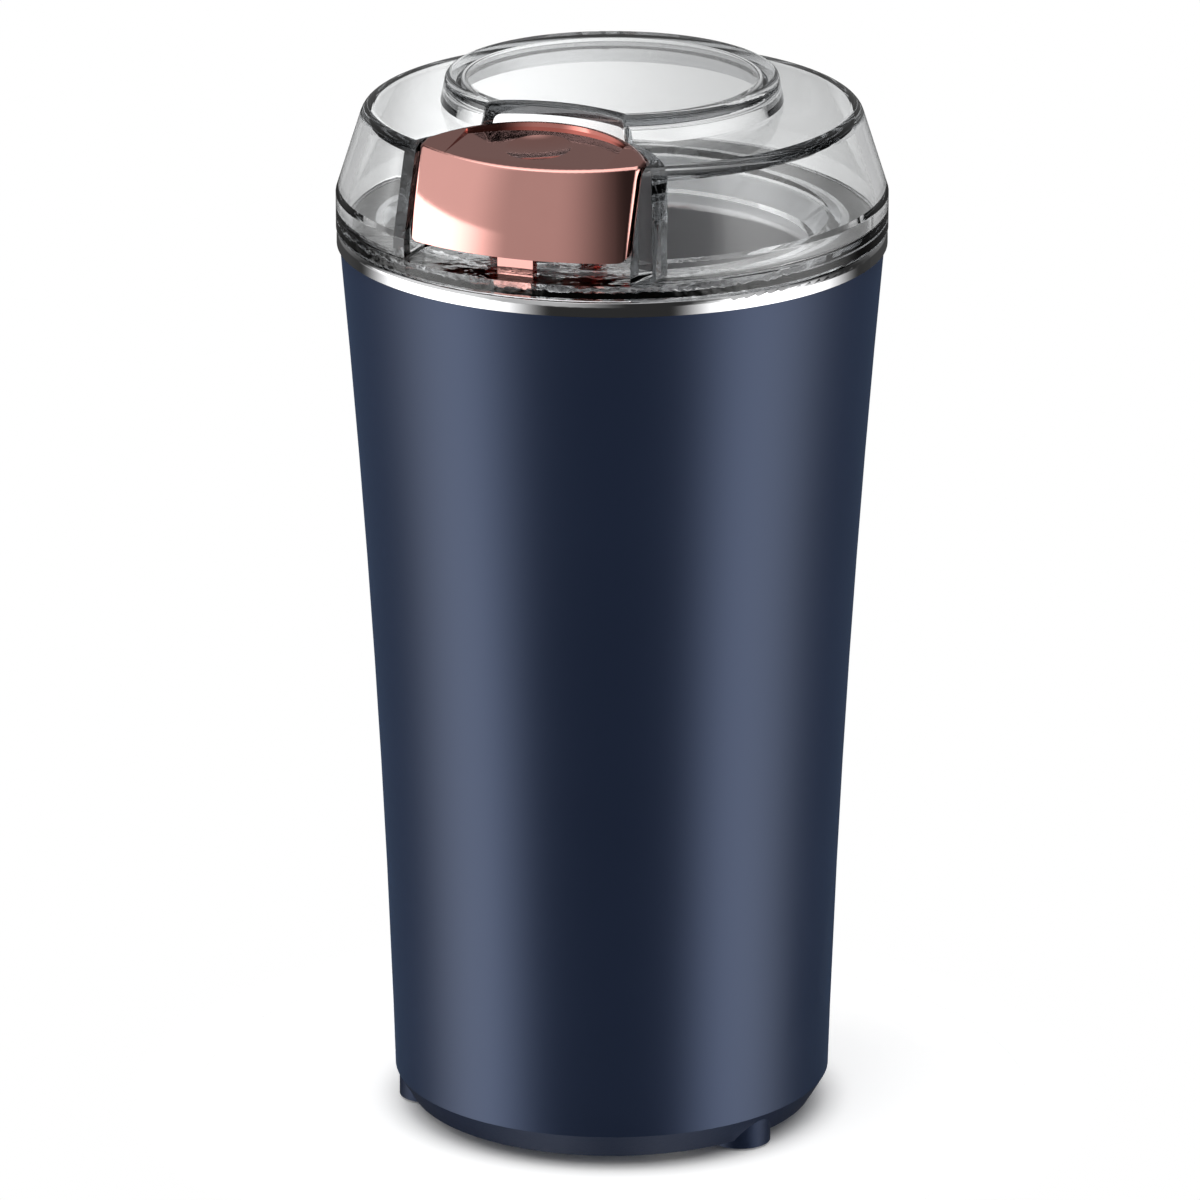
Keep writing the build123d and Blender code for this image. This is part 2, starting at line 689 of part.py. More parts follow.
tail_hub_z = tail_z + HUB_DROP
tail_bearing_z = tail_hub_z - BEARING_HEIGHT
holder_half = BRUSH_WIDTH / 2 + HOLDER_CLEAR + HOLDER_WALL
holder_low_z = brush_z - BRUSH_HEIGHT / 2 - HOLDER_CLEAR - HOLDER_WALL
holder_top_z = brush_z + BRUSH_HEIGHT / 2 + HOLDER_CLEAR + HOLDER_WALL
with BuildPart() as lower_bracket:
    pegs([(0, 0)], stator_radius - FIT, tail_low_z, tail_z)
    pegs([(0, 0)], HUB_RADIUS, tail_bearing_z, tail_hub_z)
    pegs(leg_spots, LEG_RADIUS, tail_z, stack_low_z)
    for hand in (-1, 1):
        span = sorted((hand * holder_start, hand * holder_end))
        block((-holder_half, holder_half), span, (tail_z, holder_low_z))
    pegs([(0, 0)], BEARING_RADIUS + SNUG, tail_bearing_z, tail_hub_z, mode=Mode.SUBTRACT)
    pegs(bolt_spots, BOLT_RADIUS + FIT, tail_low_z, tail_z, mode=Mode.SUBTRACT)
    pegs([(-cooling_ring, 0), (cooling_ring, 0)], cooling_radius, tail_low_z, tail_z, mode=Mode.SUBTRACT)

with BuildPart() as lower_bearing:
    pegs([(0, 0)], BEARING_RADIUS, tail_bearing_z, tail_hub_z)
    pegs([(0, 0)], SHAFT_RADIUS + RUN, tail_bearing_z, tail_hub_z, mode=Mode.SUBTRACT)

with BuildPart() as motor_bolts:
    pegs(bolt_spots, BOLT_RADIUS, tail_low_z, bracket_z + BOLT_HEAD_HEIGHT)
    pegs(bolt_spots, BOLT_HEAD_RADIUS, tail_low_z - BOLT_HEAD_HEIGHT, tail_low_z)
    with BuildSketch(Plane.XY.offset(bracket_z)):
        with Locations(*bolt_spots):
            RegularPolygon(BOLT_HEAD_RADIUS, 6)
    extrude(amount=BOLT_HEAD_HEIGHT)


# Stator: ring of sheets with two poles, each wrapped by a curved field coil
def sector(radius, half_angle):
    """Two opposite wedges on the X axis, out to a radius."""
    reach = 2 * radius
    edge = reach * tan(radians(half_angle))
    with BuildSketch() as wedge:
        Polygon((0, 0), (reach, -edge), (reach, edge), align=None)
        Polygon((0, 0), (-reach, -edge), (-reach, edge), align=None)
        Circle(radius, mode=Mode.INTERSECT)
    return wedge.sketch


with BuildPart() as stator_core:
    with BuildSketch(Plane.XY.offset(stack_low_z)):
        Circle(stator_radius)
        Circle(yoke_radius, mode=Mode.SUBTRACT)
        add(sector(shoe_radius, SHOE_ANGLE))
        with Locations((-shoe_radius, 0), (shoe_radius, 0)):
            Rectangle(2 * (yoke_radius + yoke / 2 - shoe_radius), 2 * NECK_HALF)
        Circle(bore_radius, mode=Mode.SUBTRACT)
        with Locations(*bolt_spots):
            Circle(BOLT_RADIUS + FIT, mode=Mode.SUBTRACT)
    extrude(amount=stack_height)

with BuildPart() as field_coils:
    with BuildSketch(Plane.XY.offset(stack_low_z - COIL_OVERHANG)):
        add(sector(yoke_radius - COIL_CLEAR, COIL_ANGLE))
        Circle(shoe_radius + COIL_CLEAR, mode=Mode.SUBTRACT)
    extrude(amount=stack_height + 2 * COIL_OVERHANG)
    neck = NECK_HALF + COIL_CLEAR
    block((-stator_radius, stator_radius), (-neck, neck), (stack_low_z, stack_top_z), mode=Mode.SUBTRACT)

# Armature: shaft, slotted core, end windings and commutator
shaft_low_z = tail_bearing_z - SHAFT_TAIL
hub_low_z = bowl_floor_z + SEAL_LIP + GAP
blade_z = hub_low_z + BLADE_HUB_HEIGHT
with BuildPart() as motor_shaft:
    pegs([(0, 0)], SHAFT_RADIUS, shaft_low_z, blade_z + BLADE_SHEET + SHAFT_REACH)

with BuildPart() as armature_core:
    with BuildSketch(Plane.XY.offset(stack_low_z)):
        Circle(armature_radius)
        Circle(SHAFT_RADIUS + SNUG, mode=Mode.SUBTRACT)
        with PolarLocations(armature_radius - SLOT_DEPTH / 2, SLOT_COUNT):
            Rectangle(SLOT_DEPTH + AIR_GAP, SLOT_WIDTH, mode=Mode.SUBTRACT)
    extrude(amount=stack_height)

with BuildPart() as armature_winding:
    for low in (stack_low_z - WINDING_HEIGHT, stack_top_z):
        with BuildSketch(Plane.XZ) as section:
            Polygon(
                (SHAFT_RADIUS + SNUG, low),
                (winding_radius, low),
                (winding_radius, low + WINDING_HEIGHT),
                (SHAFT_RADIUS + SNUG, low + WINDING_HEIGHT),
                align=None,
            )
            chamfer(section.vertices().group_by(Axis.X)[-1], WINDING_SLOPE)
        revolve(axis=Axis.Z)

with BuildPart() as commutator:
    with BuildSketch(Plane.XY.offset(commutator_z)):
        Circle(COMMUTATOR_RADIUS)
        Circle(SHAFT_RADIUS + SNUG, mode=Mode.SUBTRACT)
        with PolarLocations(COMMUTATOR_RADIUS, SLOT_COUNT):
            Rectangle(2 * COMMUTATOR_GROOVE_DEPTH, COMMUTATOR_GROOVE, mode=Mode.SUBTRACT)
    extrude(amount=COMMUTATOR_HEIGHT)

# Brush gear on the lower bracket: a brass box, a carbon brush and its folded leaf spring on each side
brush_in = COMMUTATOR_RADIUS + GAP
brush_end = brush_in + BRUSH_SHARE * (holder_end - HOLDER_WALL - brush_in)
with BuildPart() as brush_holders:
    bore = BRUSH_WIDTH / 2 + HOLDER_CLEAR
    bore_z = (holder_low_z + HOLDER_WALL, holder_top_z - HOLDER_WALL)
    for hand in (-1, 1):
        span = sorted((hand * holder_start, hand * holder_end))
        block((-holder_half, holder_half), span, (holder_low_z, holder_top_z))
        span = sorted((hand * holder_start, hand * (holder_end - HOLDER_WALL)))
        block((-bore, bore), span, bore_z, mode=Mode.SUBTRACT)

with BuildPart() as carbon_brushes:
    with BuildSketch(Plane.XY.offset(brush_z - BRUSH_HEIGHT / 2)):
        Rectangle(BRUSH_WIDTH, 2 * brush_end)
        Circle(brush_in, mode=Mode.SUBTRACT)
    extrude(amount=BRUSH_HEIGHT)

with BuildPart() as brush_springs:
    leaf_room = holder_end - HOLDER_WALL - brush_end - 2 * LEAF_THICK
    leaf_high = BRUSH_HEIGHT / 2 - LEAF_THICK
    for hand in (-1, 1):
        with BuildSketch(Plane.YZ.offset(-LEAF_WIDTH / 2)):
            with BuildLine() as leaf:
                folds = [
                    (
                        hand * (brush_end + LEAF_THICK + leaf_room * fold / LEAF_FOLDS),
                        brush_z + leaf_high * (-1) ** fold,
                    )
                    for fold in range(LEAF_FOLDS + 1)
                ]
                Polyline(*folds)
                offset(amount=LEAF_THICK / 2, side=Side.BOTH)
            make_face()
        extrude(amount=LEAF_WIDTH)

# Rubber seal that grips the bowl's floor round the shaft
with BuildPart() as shaft_seal:
    with BuildSketch(Plane.XZ):
        Polygon(
            (SHAFT_RADIUS + FIT, bowl_under_z - SEAL_LIP),
            (SHAFT_OPENING + SEAL_FLANGE, bowl_under_z - SEAL_LIP),
            (SHAFT_OPENING + SEAL_FLANGE, bowl_under_z),
            (SHAFT_OPENING - SNUG, bowl_under_z),
            (SHAFT_OPENING - SNUG, bowl_floor_z),
            (SHAFT_OPENING + SEAL_FLANGE, bowl_floor_z),
            (SHAFT_OPENING + SEAL_FLANGE, bowl_floor_z + SEAL_LIP),
            (SHAFT_RADIUS + FIT, bowl_floor_z + SEAL_LIP),
            align=None,
        )
    revolve(axis=Axis.Z)

# Blade with one raised and one dipped wing, its hub and its domed nut
with BuildPart() as blade_hub:
    with BuildSketch(Plane.XY.offset(hub_low_z)):
        Circle(BLADE_HUB_RADIUS)
        Circle(SHAFT_RADIUS + SNUG, mode=Mode.SUBTRACT)
    extrude(amount=BLADE_HUB_HEIGHT)
    chamfer(blade_hub.edges().group_by(Axis.Z)[-1].sort_by(SortBy.RADIUS)[-1], BLADE_SHEET / 2)

blade_reach = bowl_radius - BLADE_TIP_GAP
blade_low_tip = blade_z - BLADE_DIP
blade_high_tip = blade_z + BLADE_RISE
with BuildPart() as blade:
    with BuildSketch(Plane.XZ):
        with BuildLine():
            Polyline(
                (-blade_reach, blade_low_tip),
                (-BLADE_FLAT, blade_z),
                (BLADE_FLAT, blade_z),
                (blade_reach, blade_high_tip),
            )
            offset(amount=BLADE_SHEET, kind=Kind.INTERSECTION, side=Side.LEFT)
        make_face()
    extrude(amount=BLADE_ROOT, both=True)
    with BuildSketch(Plane.XY.offset(blade_low_tip - BLADE_SHEET)):
        Polygon(
            (-BLADE_ROOT, BLADE_ROOT),
            (-blade_reach, BLADE_TIP),
            (-blade_reach + BLADE_TIP, -BLADE_TIP),
            (-BLADE_ROOT, -BLADE_ROOT),
            (BLADE_ROOT, -BLADE_ROOT),
            (blade_reach, -BLADE_TIP),
            (blade_reach - BLADE_TIP, BLADE_TIP),
            (BLADE_ROOT, BLADE_ROOT),
            align=None,
        )
        Circle(SHAFT_RADIUS + SNUG, mode=Mode.SUBTRACT)
    extrude(amount=BLADE_RISE + BLADE_DIP + 3 * BLADE_SHEET, mode=Mode.INTERSECT)
    lead = (blade_reach + BLADE_FLAT) / 2
    half_root = (BLADE_ROOT + BLADE_TIP) / 2
    high_edge = (lead, -half_root, (blade_z + blade_high_tip) / 2 + BLADE_SHEET)
    low_edge = (-lead, half_root, (blade_z + blade_low_tip) / 2 + BLADE_SHEET)
    for place in (high_edge, low_edge):
        edge = blade.edges().sort_by_distance(place)[0]
        chamfer(edge, BLADE_SHEET / 2, BLADE_EDGE)

nut_z = blade_z + BLADE_SHEET
with BuildPart() as blade_nut:
    with BuildSketch(Plane.XY.offset(nut_z)):
        RegularPolygon(CAP_NUT_RADIUS, 6)
    extrude(amount=CAP_NUT_HEIGHT)
    with BuildSketch(Plane.XZ):
        with BuildLine():
            dome_z = nut_z + CAP_NUT_HEIGHT
            Polyline((CAP_DOME_RADIUS, dome_z), (0, dome_z), (0, dome_z + CAP_DOME_HEIGHT))
            TangentArc((0, dome_z + CAP_DOME_HEIGHT), (CAP_DOME_RADIUS, dome_z), tangent=(1, 0))
        make_face()
    revolve(axis=Axis.Z)
    pegs([(0, 0)], SHAFT_RADIUS + SNUG, nut_z, nut_z + SHAFT_REACH + FIT, mode=Mode.SUBTRACT)

# Lid: clear moulding with a collar that centres in the bowl's mouth, a raised crown and the button pocket
collar_z = rim_z - COLLAR_DEPTH
collar_top = mouth_radius - LID_FIT
collar_low = collar_top - COLLAR_DEPTH * flare_slope
lid_inside = lid_radius - LID_WALL
wall_slope = hypot(LID_SLOPE, LID_TAPER) / LID_TAPER
with BuildPart() as lid_hollow:
    with BuildSketch(Plane.XZ) as section:
        Polygon(
            (0, collar_z),
            (collar_low - COLLAR_WALL, collar_z),
            (collar_top - COLLAR_WALL, pocket_z),
            (lid_inside, pocket_z),
            (lid_inside, band_z),
            (deck_radius - LID_WALL * wall_slope + LID_WALL * LID_SLOPE / LID_TAPER, deck_z - LID_WALL),
            (crown_radius + CROWN_DRAFT - LID_WALL, crown_foot_z - LID_WALL),
            (crown_radius - LID_WALL, crown_z - LID_WALL),
            (0, crown_z - LID_WALL),
            align=None,
        )
        fillet(corner(section, crown_radius - LID_WALL, crown_z - LID_WALL), CROWN_ROUND)
        fillet(corner(section, lid_inside, pocket_z), BAND_ROUND)
    revolve(axis=Axis.Z)
    extrude(pocket_plan(POCKET_GAP + POCKET_WALL, rim_z), amount=crown_z - rim_z, mode=Mode.SUBTRACT)

with BuildPart() as lid_shell:
    with BuildSketch(Plane.XZ) as section:
        Polygon(
            (0, collar_z),
            (collar_low, collar_z),
            (collar_top, rim_z),
            (lid_radius, rim_z),
            (lid_radius, band_z),
            (deck_radius, deck_z),
            (crown_radius + CROWN_DRAFT, crown_foot_z),
            (crown_radius, crown_z),
            (0, crown_z),
            align=None,
        )
        fillet(corner(section, lid_radius, band_z), BAND_ROUND)
        fillet(corner(section, deck_radius, deck_z), SHOULDER_ROUND)
        fillet(corner(section, crown_radius, crown_z), CROWN_ROUND)
    revolve(axis=Axis.Z)
    add(lid_hollow.part, mode=Mode.SUBTRACT)
    extrude(pocket_plan(POCKET_GAP, pocket_z), amount=crown_z - pocket_z, mode=Mode.SUBTRACT)
    crown_cut = lid_shell.edges().group_by(Axis.Z)[-1].sort_by(SortBy.RADIUS)[0]
    fillet(crown_cut, POCKET_ROUND)
    block(
        (-STEM_WIDTH / 2 - STEM_SLACK, STEM_WIDTH / 2 + STEM_SLACK),
        (-stem_out - STEM_SLACK, -stem_in + STEM_SLACK),
        (rim_z, pocket_z),
        mode=Mode.SUBTRACT,
    )
    for hand in (-1, 1):
        hook_hole = HOOK_WIDTH / 2 + STEM_SLACK
        block(
            (hand * HOOK_SPREAD - hook_hole, hand * HOOK_SPREAD + hook_hole),
            (-hook_reach - HOOK_THICK - STEM_SLACK, -hook_reach + STEM_SLACK),
            (rim_z, pocket_z),
            mode=Mode.SUBTRACT,
        )
    pegs([spring_spot], SPRING_RADIUS - SPRING_WIRE / 2 - PEG_CLEAR, pocket_z, pocket_z + PEG_HEIGHT)

# Push button: hollow cap that follows the lid's taper, with its stem and two retaining hooks
button_slope = BUTTON_CLIMB / (deck_radius - button_back)


def slope_z(reach):
    """Height of the button's sloping top at a distance in front of the axis."""
    return button_front_z + button_slope * (deck_radius - reach)


def button_side(drop):
    """Side view of the button, its sloping top set down by an amount."""
    with BuildSketch(Plane.YZ.offset(-BUTTON_HALF)) as plan:
        Polygon(
            (-lid_radius, button_z),
            (-button_back, button_z),
            (-button_back, slope_z(button_back) - drop),
            (-lid_radius, slope_z(lid_radius) - drop),
            align=None,
        )
    return plan.sketch


with BuildPart() as button_core:
    extrude(pocket_plan(-BUTTON_WALL, button_z), amount=crown_z - button_z)
    revolve(front_section(BUTTON_FLUSH + BUTTON_WALL), axis=Axis.Z, mode=Mode.INTERSECT)
    extrude(button_side(BUTTON_TOP), amount=2 * BUTTON_HALF, mode=Mode.INTERSECT)

dish_front = deck_radius - DISH_SETBACK
dish_slope = button_slope - DISH_STEP / (dish_front - button_back)
with BuildPart() as dish:
    extrude(pocket_plan(-DISH_LIP, button_z), amount=crown_z - button_z)
    with BuildSketch(Plane.YZ.offset(-DISH_HALF)):
        Polygon(
            (-dish_front, slope_z(dish_front)),
            (-button_back, slope_z(button_back) - DISH_STEP),
            (-button_back, crown_z),
            (-dish_front, crown_z),
            align=None,
        )
    extrude(amount=2 * DISH_HALF, mode=Mode.INTERSECT)

stem_half = STEM_WIDTH / 2
with BuildPart() as stem_root:
    block((-stem_half, stem_half), (-stem_out, -stem_in), (button_z, ceiling_z))
    revolve(front_section(BUTTON_FLUSH + BUTTON_WALL / 2), axis=Axis.Z, mode=Mode.INTERSECT)

with BuildPart() as push_button:
    extrude(pocket_plan(0, button_z), amount=crown_z - button_z)
    revolve(front_section(BUTTON_FLUSH), axis=Axis.Z, mode=Mode.INTERSECT)
    extrude(button_side(0), amount=2 * BUTTON_HALF, mode=Mode.INTERSECT)
    front_end = sqrt((deck_radius - BUTTON_FLUSH - BUTTON_BULGE) ** 2 - BUTTON_HALF**2)
    back_end = arc_centre - sqrt(BUTTON_ARC**2 - BUTTON_HALF**2)
    side_round = min(BUTTON_CORNER, CORNER_SHARE * (front_end - back_end))
    side_edges = push_button.faces().filter_by(Axis.X).edges()
    fillet(side_edges.filter_by(lambda edge: edge.bounding_box().size.Z > BUTTON_CLIMB), side_round)
    top_round = min(BUTTON_ROUND, ROUND_SHARE * side_round)
    fillet(push_button.faces().sort_by(Axis.Z)[-1].edges(), top_round)
    with BuildSketch(Plane.XZ) as front:
        with Locations((0, (button_z + crown_z) / 2)):
            Rectangle(2 * BUTTON_HALF, crown_z - button_z)
        fillet(front.vertices().group_by(Axis.Y)[0], BUTTON_CHIN)
    extrude(amount=lid_radius, mode=Mode.INTERSECT)
    add(dish.part, mode=Mode.SUBTRACT)
    thumb_ball = (THUMB_RADIUS**2 + THUMB_DEPTH**2) / (2 * THUMB_DEPTH)
    thumb_z = slope_z(dish_front) + dish_slope * (THUMB_SETBACK - DISH_SETBACK)
    square = Vector(0, -dish_slope, 1).normalized()
    with Locations(Vector(0, THUMB_SETBACK - deck_radius, thumb_z) + square * (thumb_ball - THUMB_DEPTH)):
        Sphere(thumb_ball, rotation=(90, 0, 0), mode=Mode.SUBTRACT)
    add(button_core.part, mode=Mode.SUBTRACT)
    pegs([spring_spot], SPRING_RADIUS + SPRING_WIRE, ceiling_z, slope_z(-spring_spot[1]) - BUTTON_TOP / 2)
    add(stem_root.part)
    block((-stem_half, stem_half), (-stem_out, -stem_in), (rim_z, button_z))
    barb_z = rim_z - GAP
    hook_top = slope_z(hook_reach) - BUTTON_TOP / 2
    for hand in (-1, 1):
        hook = (hand * HOOK_SPREAD - HOOK_WIDTH / 2, hand * HOOK_SPREAD + HOOK_WIDTH / 2)
        block(hook, (-hook_reach - HOOK_THICK, -hook_reach), (barb_z - HOOK_BARB_HEIGHT, hook_top))
        with BuildSketch(Plane.YZ.offset(hook[0])):
            Polygon(
                (-hook_reach, barb_z),
                (-hook_reach + STEM_SLACK + HOOK_BARB, barb_z),
                (-hook_reach, barb_z - HOOK_BARB_HEIGHT),
                align=None,
            )
        extrude(amount=HOOK_WIDTH)


# Button spring: one wire wound up from the lid's pocket to the button's ceiling
def biarc_point(start, start_way, end, end_way):
    """Meeting point of the two arcs that join two points along given directions."""
    across = end - start
    ways = start_way + end_way
    spread = 2 * (1 - start_way.dot(end_way))
    along = across.dot(ways)
    reach = (sqrt(along**2 + spread * across.dot(across)) - along) / spread
    return (start + end + (start_way - end_way) * reach) * 0.5


spring_low_z = pocket_z + SPRING_SLACK + SPRING_WIRE / 2
spring_top_z = ceiling_z - SPRING_SLACK - SPRING_WIRE / 2
spring_pitch = (spring_top_z - spring_low_z) / SPRING_TURNS


def spring_point(turn):
    """Point on the wire's line after a number of turns."""
    angle = 2 * pi * turn
    return Vector(
        spring_spot[0] + SPRING_RADIUS * cos(angle),
        spring_spot[1] + SPRING_RADIUS * sin(angle),
        spring_low_z + spring_pitch * turn,
    )


def spring_way(turn):
    """Direction of the wire after a number of turns."""
    angle = 2 * pi * turn
    lead_rate = spring_pitch / (2 * pi * SPRING_RADIUS)
    return Vector(-sin(angle), cos(angle), lead_rate).normalized()


with BuildPart() as button_spring:
    quarters = [quarter / 4 for quarter in range(4 * SPRING_TURNS + 1)]
    with BuildLine() as wire:
        Line(spring_point(0) - spring_way(0) * SPRING_WIRE, spring_point(0))
        for first, last in zip(quarters, quarters[1:]):
            low, high = spring_point(first), spring_point(last)
            meeting = biarc_point(low, spring_way(first), high, spring_way(last))
            arc = TangentArc(low, meeting, tangent=spring_way(first))
            TangentArc(meeting, high, tangent=arc % 1)
        end = spring_point(SPRING_TURNS)
        Line(end, end + spring_way(SPRING_TURNS) * SPRING_WIRE)
    with BuildSketch(Plane(wire.line @ 0, z_dir=wire.line % 0)):
        Circle(SPRING_WIRE / 2)
    sweep()

# Push rod: flat strip that steps in under the rim and carries a foot with a round nub
with BuildPart() as switch_rod:
    with BuildSketch(Plane.YZ.offset(-STEM_WIDTH / 2)):
        foot_in = switch_mid - ROD_FOOT_DEPTH / 2
        Polygon(
            (-stem_out, rod_top_z),
            (-stem_in, rod_top_z),
            (-stem_in, rod_jog_z + ROD_JOG),
            (-rod_in, rod_jog_z + ROD_JOG),
            (-rod_in, rod_foot_z + ROD_FOOT),
            (-foot_in, rod_foot_z + ROD_FOOT),
            (-foot_in, rod_foot_z),
            (-rod_out, rod_foot_z),
            (-rod_out, rod_jog_z),
            (-stem_out, rod_jog_z),
            align=None,
        )
    extrude(amount=STEM_WIDTH)
    foot_depth = (-foot_in - ROD_FOOT_DEPTH, -foot_in)
    block((0, nub_x + NUB_RADIUS), foot_depth, (rod_foot_z, rod_foot_z + ROD_FOOT))
    with BuildSketch(Plane.XZ.offset(foot_in)):
        with Locations((nub_x, rod_foot_z)):
            Circle(NUB_RADIUS)
    extrude(amount=ROD_FOOT_DEPTH)

# Lever switch on the frame's plate
screw_line_z = switch_z - SWITCH_HEIGHT / 2
plunger_x = PLUNGER_ARM - LEVER_PIVOT
with BuildPart() as switch_body:
    block((-SWITCH_LENGTH / 2, SWITCH_LENGTH / 2), (-switch_out, -switch_in), (switch_low_z, switch_z))
    for ear_out in (switch_mid - LEVER_WIDTH / 2 - FIT, switch_mid + LEVER_WIDTH / 2 + FIT + EAR_THICK):
        with BuildSketch(Plane.XZ.offset(ear_out - EAR_THICK)):
            with Locations((-LEVER_PIVOT, pivot_z)):
                Circle(EAR_RADIUS)
            with Locations((-LEVER_PIVOT, (pivot_z + switch_z) / 2)):
                Rectangle(2 * EAR_RADIUS, pivot_z - switch_z)
            with Locations((-LEVER_PIVOT, pivot_z)):
                Circle(LEVER_PIN + RUN, mode=Mode.SUBTRACT)
        extrude(amount=EAR_THICK)
    plunger_spot = [(plunger_x, -switch_mid)]
    pegs(plunger_spot, PLUNGER_RADIUS + FIT, switch_z - PLUNGER_SEAT, switch_z, mode=Mode.SUBTRACT)
    with Locations(Plane.XZ.offset(switch_out)):
        with Locations((-SWITCH_SCREW_SPREAD, screw_line_z), (SWITCH_SCREW_SPREAD, screw_line_z)):
            CounterBoreHole(SWITCH_SCREW_RADIUS + FIT, SWITCH_HEAD_RADIUS + FIT, SWITCH_HEAD_HEIGHT)

with BuildPart() as switch_screws:
    with BuildSketch(Plane.XZ.offset(switch_in - SWITCH_PLATE)):
        with Locations((-SWITCH_SCREW_SPREAD, screw_line_z), (SWITCH_SCREW_SPREAD, screw_line_z)):
            Circle(SWITCH_SCREW_RADIUS)
    extrude(amount=SWITCH_PLATE + SWITCH_DEPTH)
    with BuildSketch(Plane.XZ.offset(switch_out - SWITCH_HEAD_HEIGHT)):
        with Locations((-SWITCH_SCREW_SPREAD, screw_line_z), (SWITCH_SCREW_SPREAD, screw_line_z)):
            Circle(SWITCH_HEAD_RADIUS)
    extrude(amount=SWITCH_HEAD_HEIGHT)

with BuildPart() as switch_tabs:
    with BuildSketch(Plane.XY.offset(switch_low_z - TAB_LENGTH)):
        with Locations((-TAB_SPREAD, -switch_mid), (TAB_SPREAD, -switch_mid)):
            Rectangle(TAB_WIDTH, TAB_THICK)
    extrude(amount=TAB_LENGTH)

# Leads from the switch to the front brush and to a field coil
tab_low_z = switch_low_z - TAB_LENGTH
coil_low_z = stack_low_z - COIL_OVERHANG
coil_middle = (yoke_radius + shoe_radius) / 2
coil_spot = (coil_middle * cos(radians(LEAD_COIL_ANGLE)), -coil_middle * sin(radians(LEAD_COIL_ANGLE)))
lead_z = coil_low_z - 2 * LEAD_BEND
lead_run = stator_radius + MOTOR_GAP + LEAD_RADIUS
lead_start_z = tab_low_z - LEAD_BEND
lead_jog_z = lead_start_z - LEAD_JOG
brush_route = (
    (-TAB_SPREAD, -switch_mid, tab_low_z),
    (-TAB_SPREAD, -switch_mid, lead_start_z),
    (-TAB_SPREAD, -lead_run, lead_jog_z),
    (-TAB_SPREAD, -lead_run, holder_top_z),
    (0, -lead_run, brush_z),
    (0, -holder_end, brush_z),
)
coil_route = (
    (TAB_SPREAD, -switch_mid, tab_low_z),
    (TAB_SPREAD, -switch_mid, lead_start_z),
    (TAB_SPREAD, -lead_run, lead_jog_z),
    (TAB_SPREAD, -lead_run, lead_z),
    (*coil_spot, lead_z),
    (*coil_spot, coil_low_z),
)
with BuildPart() as motor_leads:
    for route in (brush_route, coil_route):
        with BuildLine() as lead_line:
            FilletPolyline(*route, radius=LEAD_BEND)
        with BuildSketch(Plane(lead_line.line @ 0, z_dir=lead_line.line % 0)):
            Circle(LEAD_RADIUS)
        sweep(path=lead_line.line)

# Lever on its pin between the switch's ears, and the plunger that it presses
lever_way = (cos(radians(lever_angle)), 0, sin(radians(lever_angle)))
lever_plane = Plane(origin=(-LEVER_PIVOT, -switch_mid, pivot_z), x_dir=lever_way, z_dir=(0, -1, 0))
pin_reach = LEVER_WIDTH / 2 + FIT + EAR_THICK
with BuildPart() as switch_lever:
    with BuildSketch(lever_plane):
        with Locations((LEVER_LENGTH / 2, LEVER_SHEET / 2)):
            Rectangle(LEVER_LENGTH, LEVER_SHEET)
        Circle(LEVER_BARREL)
    extrude(amount=LEVER_WIDTH / 2, both=True)
    with BuildSketch(lever_plane):
        Circle(LEVER_PIN)
    extrude(amount=pin_reach, both=True)

lever_tilt = radians(lever_angle)
plunger_top_z = pivot_z + (PLUNGER_ARM - PLUNGER_RADIUS) * tan(lever_tilt) - GAP / cos(lever_tilt)
with BuildPart() as switch_plunger:
    plunger_low_z = switch_z - PLUNGER_SEAT + PLUNGER_ARM * lever_tilt + GAP
    pegs(plunger_spot, PLUNGER_RADIUS, plunger_low_z, plunger_top_z)

pieces = {
    "housing": housing,
    "base_cover": base_cover,
    "foot_pads": foot_pads,
    "base_screws": base_screws,
    "cord_bush": cord_bush,
    "grinding_bowl": grinding_bowl,
    "bowl_gasket": bowl_gasket,
    "bowl_nuts": bowl_nuts,
    "inner_frame": inner_frame,
    "motor_dampers": motor_dampers,
    "motor_screws": motor_screws,
    "upper_bracket": upper_bracket,
    "upper_bearing": upper_bearing,
    "lower_bracket": lower_bracket,
    "lower_bearing": lower_bearing,
    "motor_bolts": motor_bolts,
    "stator_core": stator_core,
    "field_coils": field_coils,
    "motor_shaft": motor_shaft,
    "armature_core": armature_core,
    "armature_winding": armature_winding,
    "commutator": commutator,
    "brush_holders": brush_holders,
    "carbon_brushes": carbon_brushes,
    "brush_springs": brush_springs,
    "shaft_seal": shaft_seal,
    "blade_hub": blade_hub,
    "blade": blade,
    "blade_nut": blade_nut,
    "lid_shell": lid_shell,
    "push_button": push_button,
    "button_spring": button_spring,
    "switch_rod": switch_rod,
    "switch_body": switch_body,
    "switch_screws": switch_screws,
    "switch_tabs": switch_tabs,
    "switch_lever": switch_lever,
    "switch_plunger": switch_plunger,
    "motor_leads": motor_leads,
}

os.makedirs("parts", exist_ok=True)
for name, piece in pieces.items():
    piece.part.label = name
    export_step(piece.part, f"parts/{name}.step")

# The least gap of the wire to itself, measured between points half a turn apart or more
samples = [spring_point(step / 24) for step in range(24 * SPRING_TURNS + 1)]
wire_gap = min(
    (samples[later] - samples[early]).length - SPRING_WIRE
    for early in range(len(samples))
    for later in range(early + 12, len(samples))
)
print("spring gap to itself", round(wire_gap, 2))
print("lever turn", round(lever_angle, 3), "bowl radius", round(bowl_radius, 2))
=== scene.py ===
import math

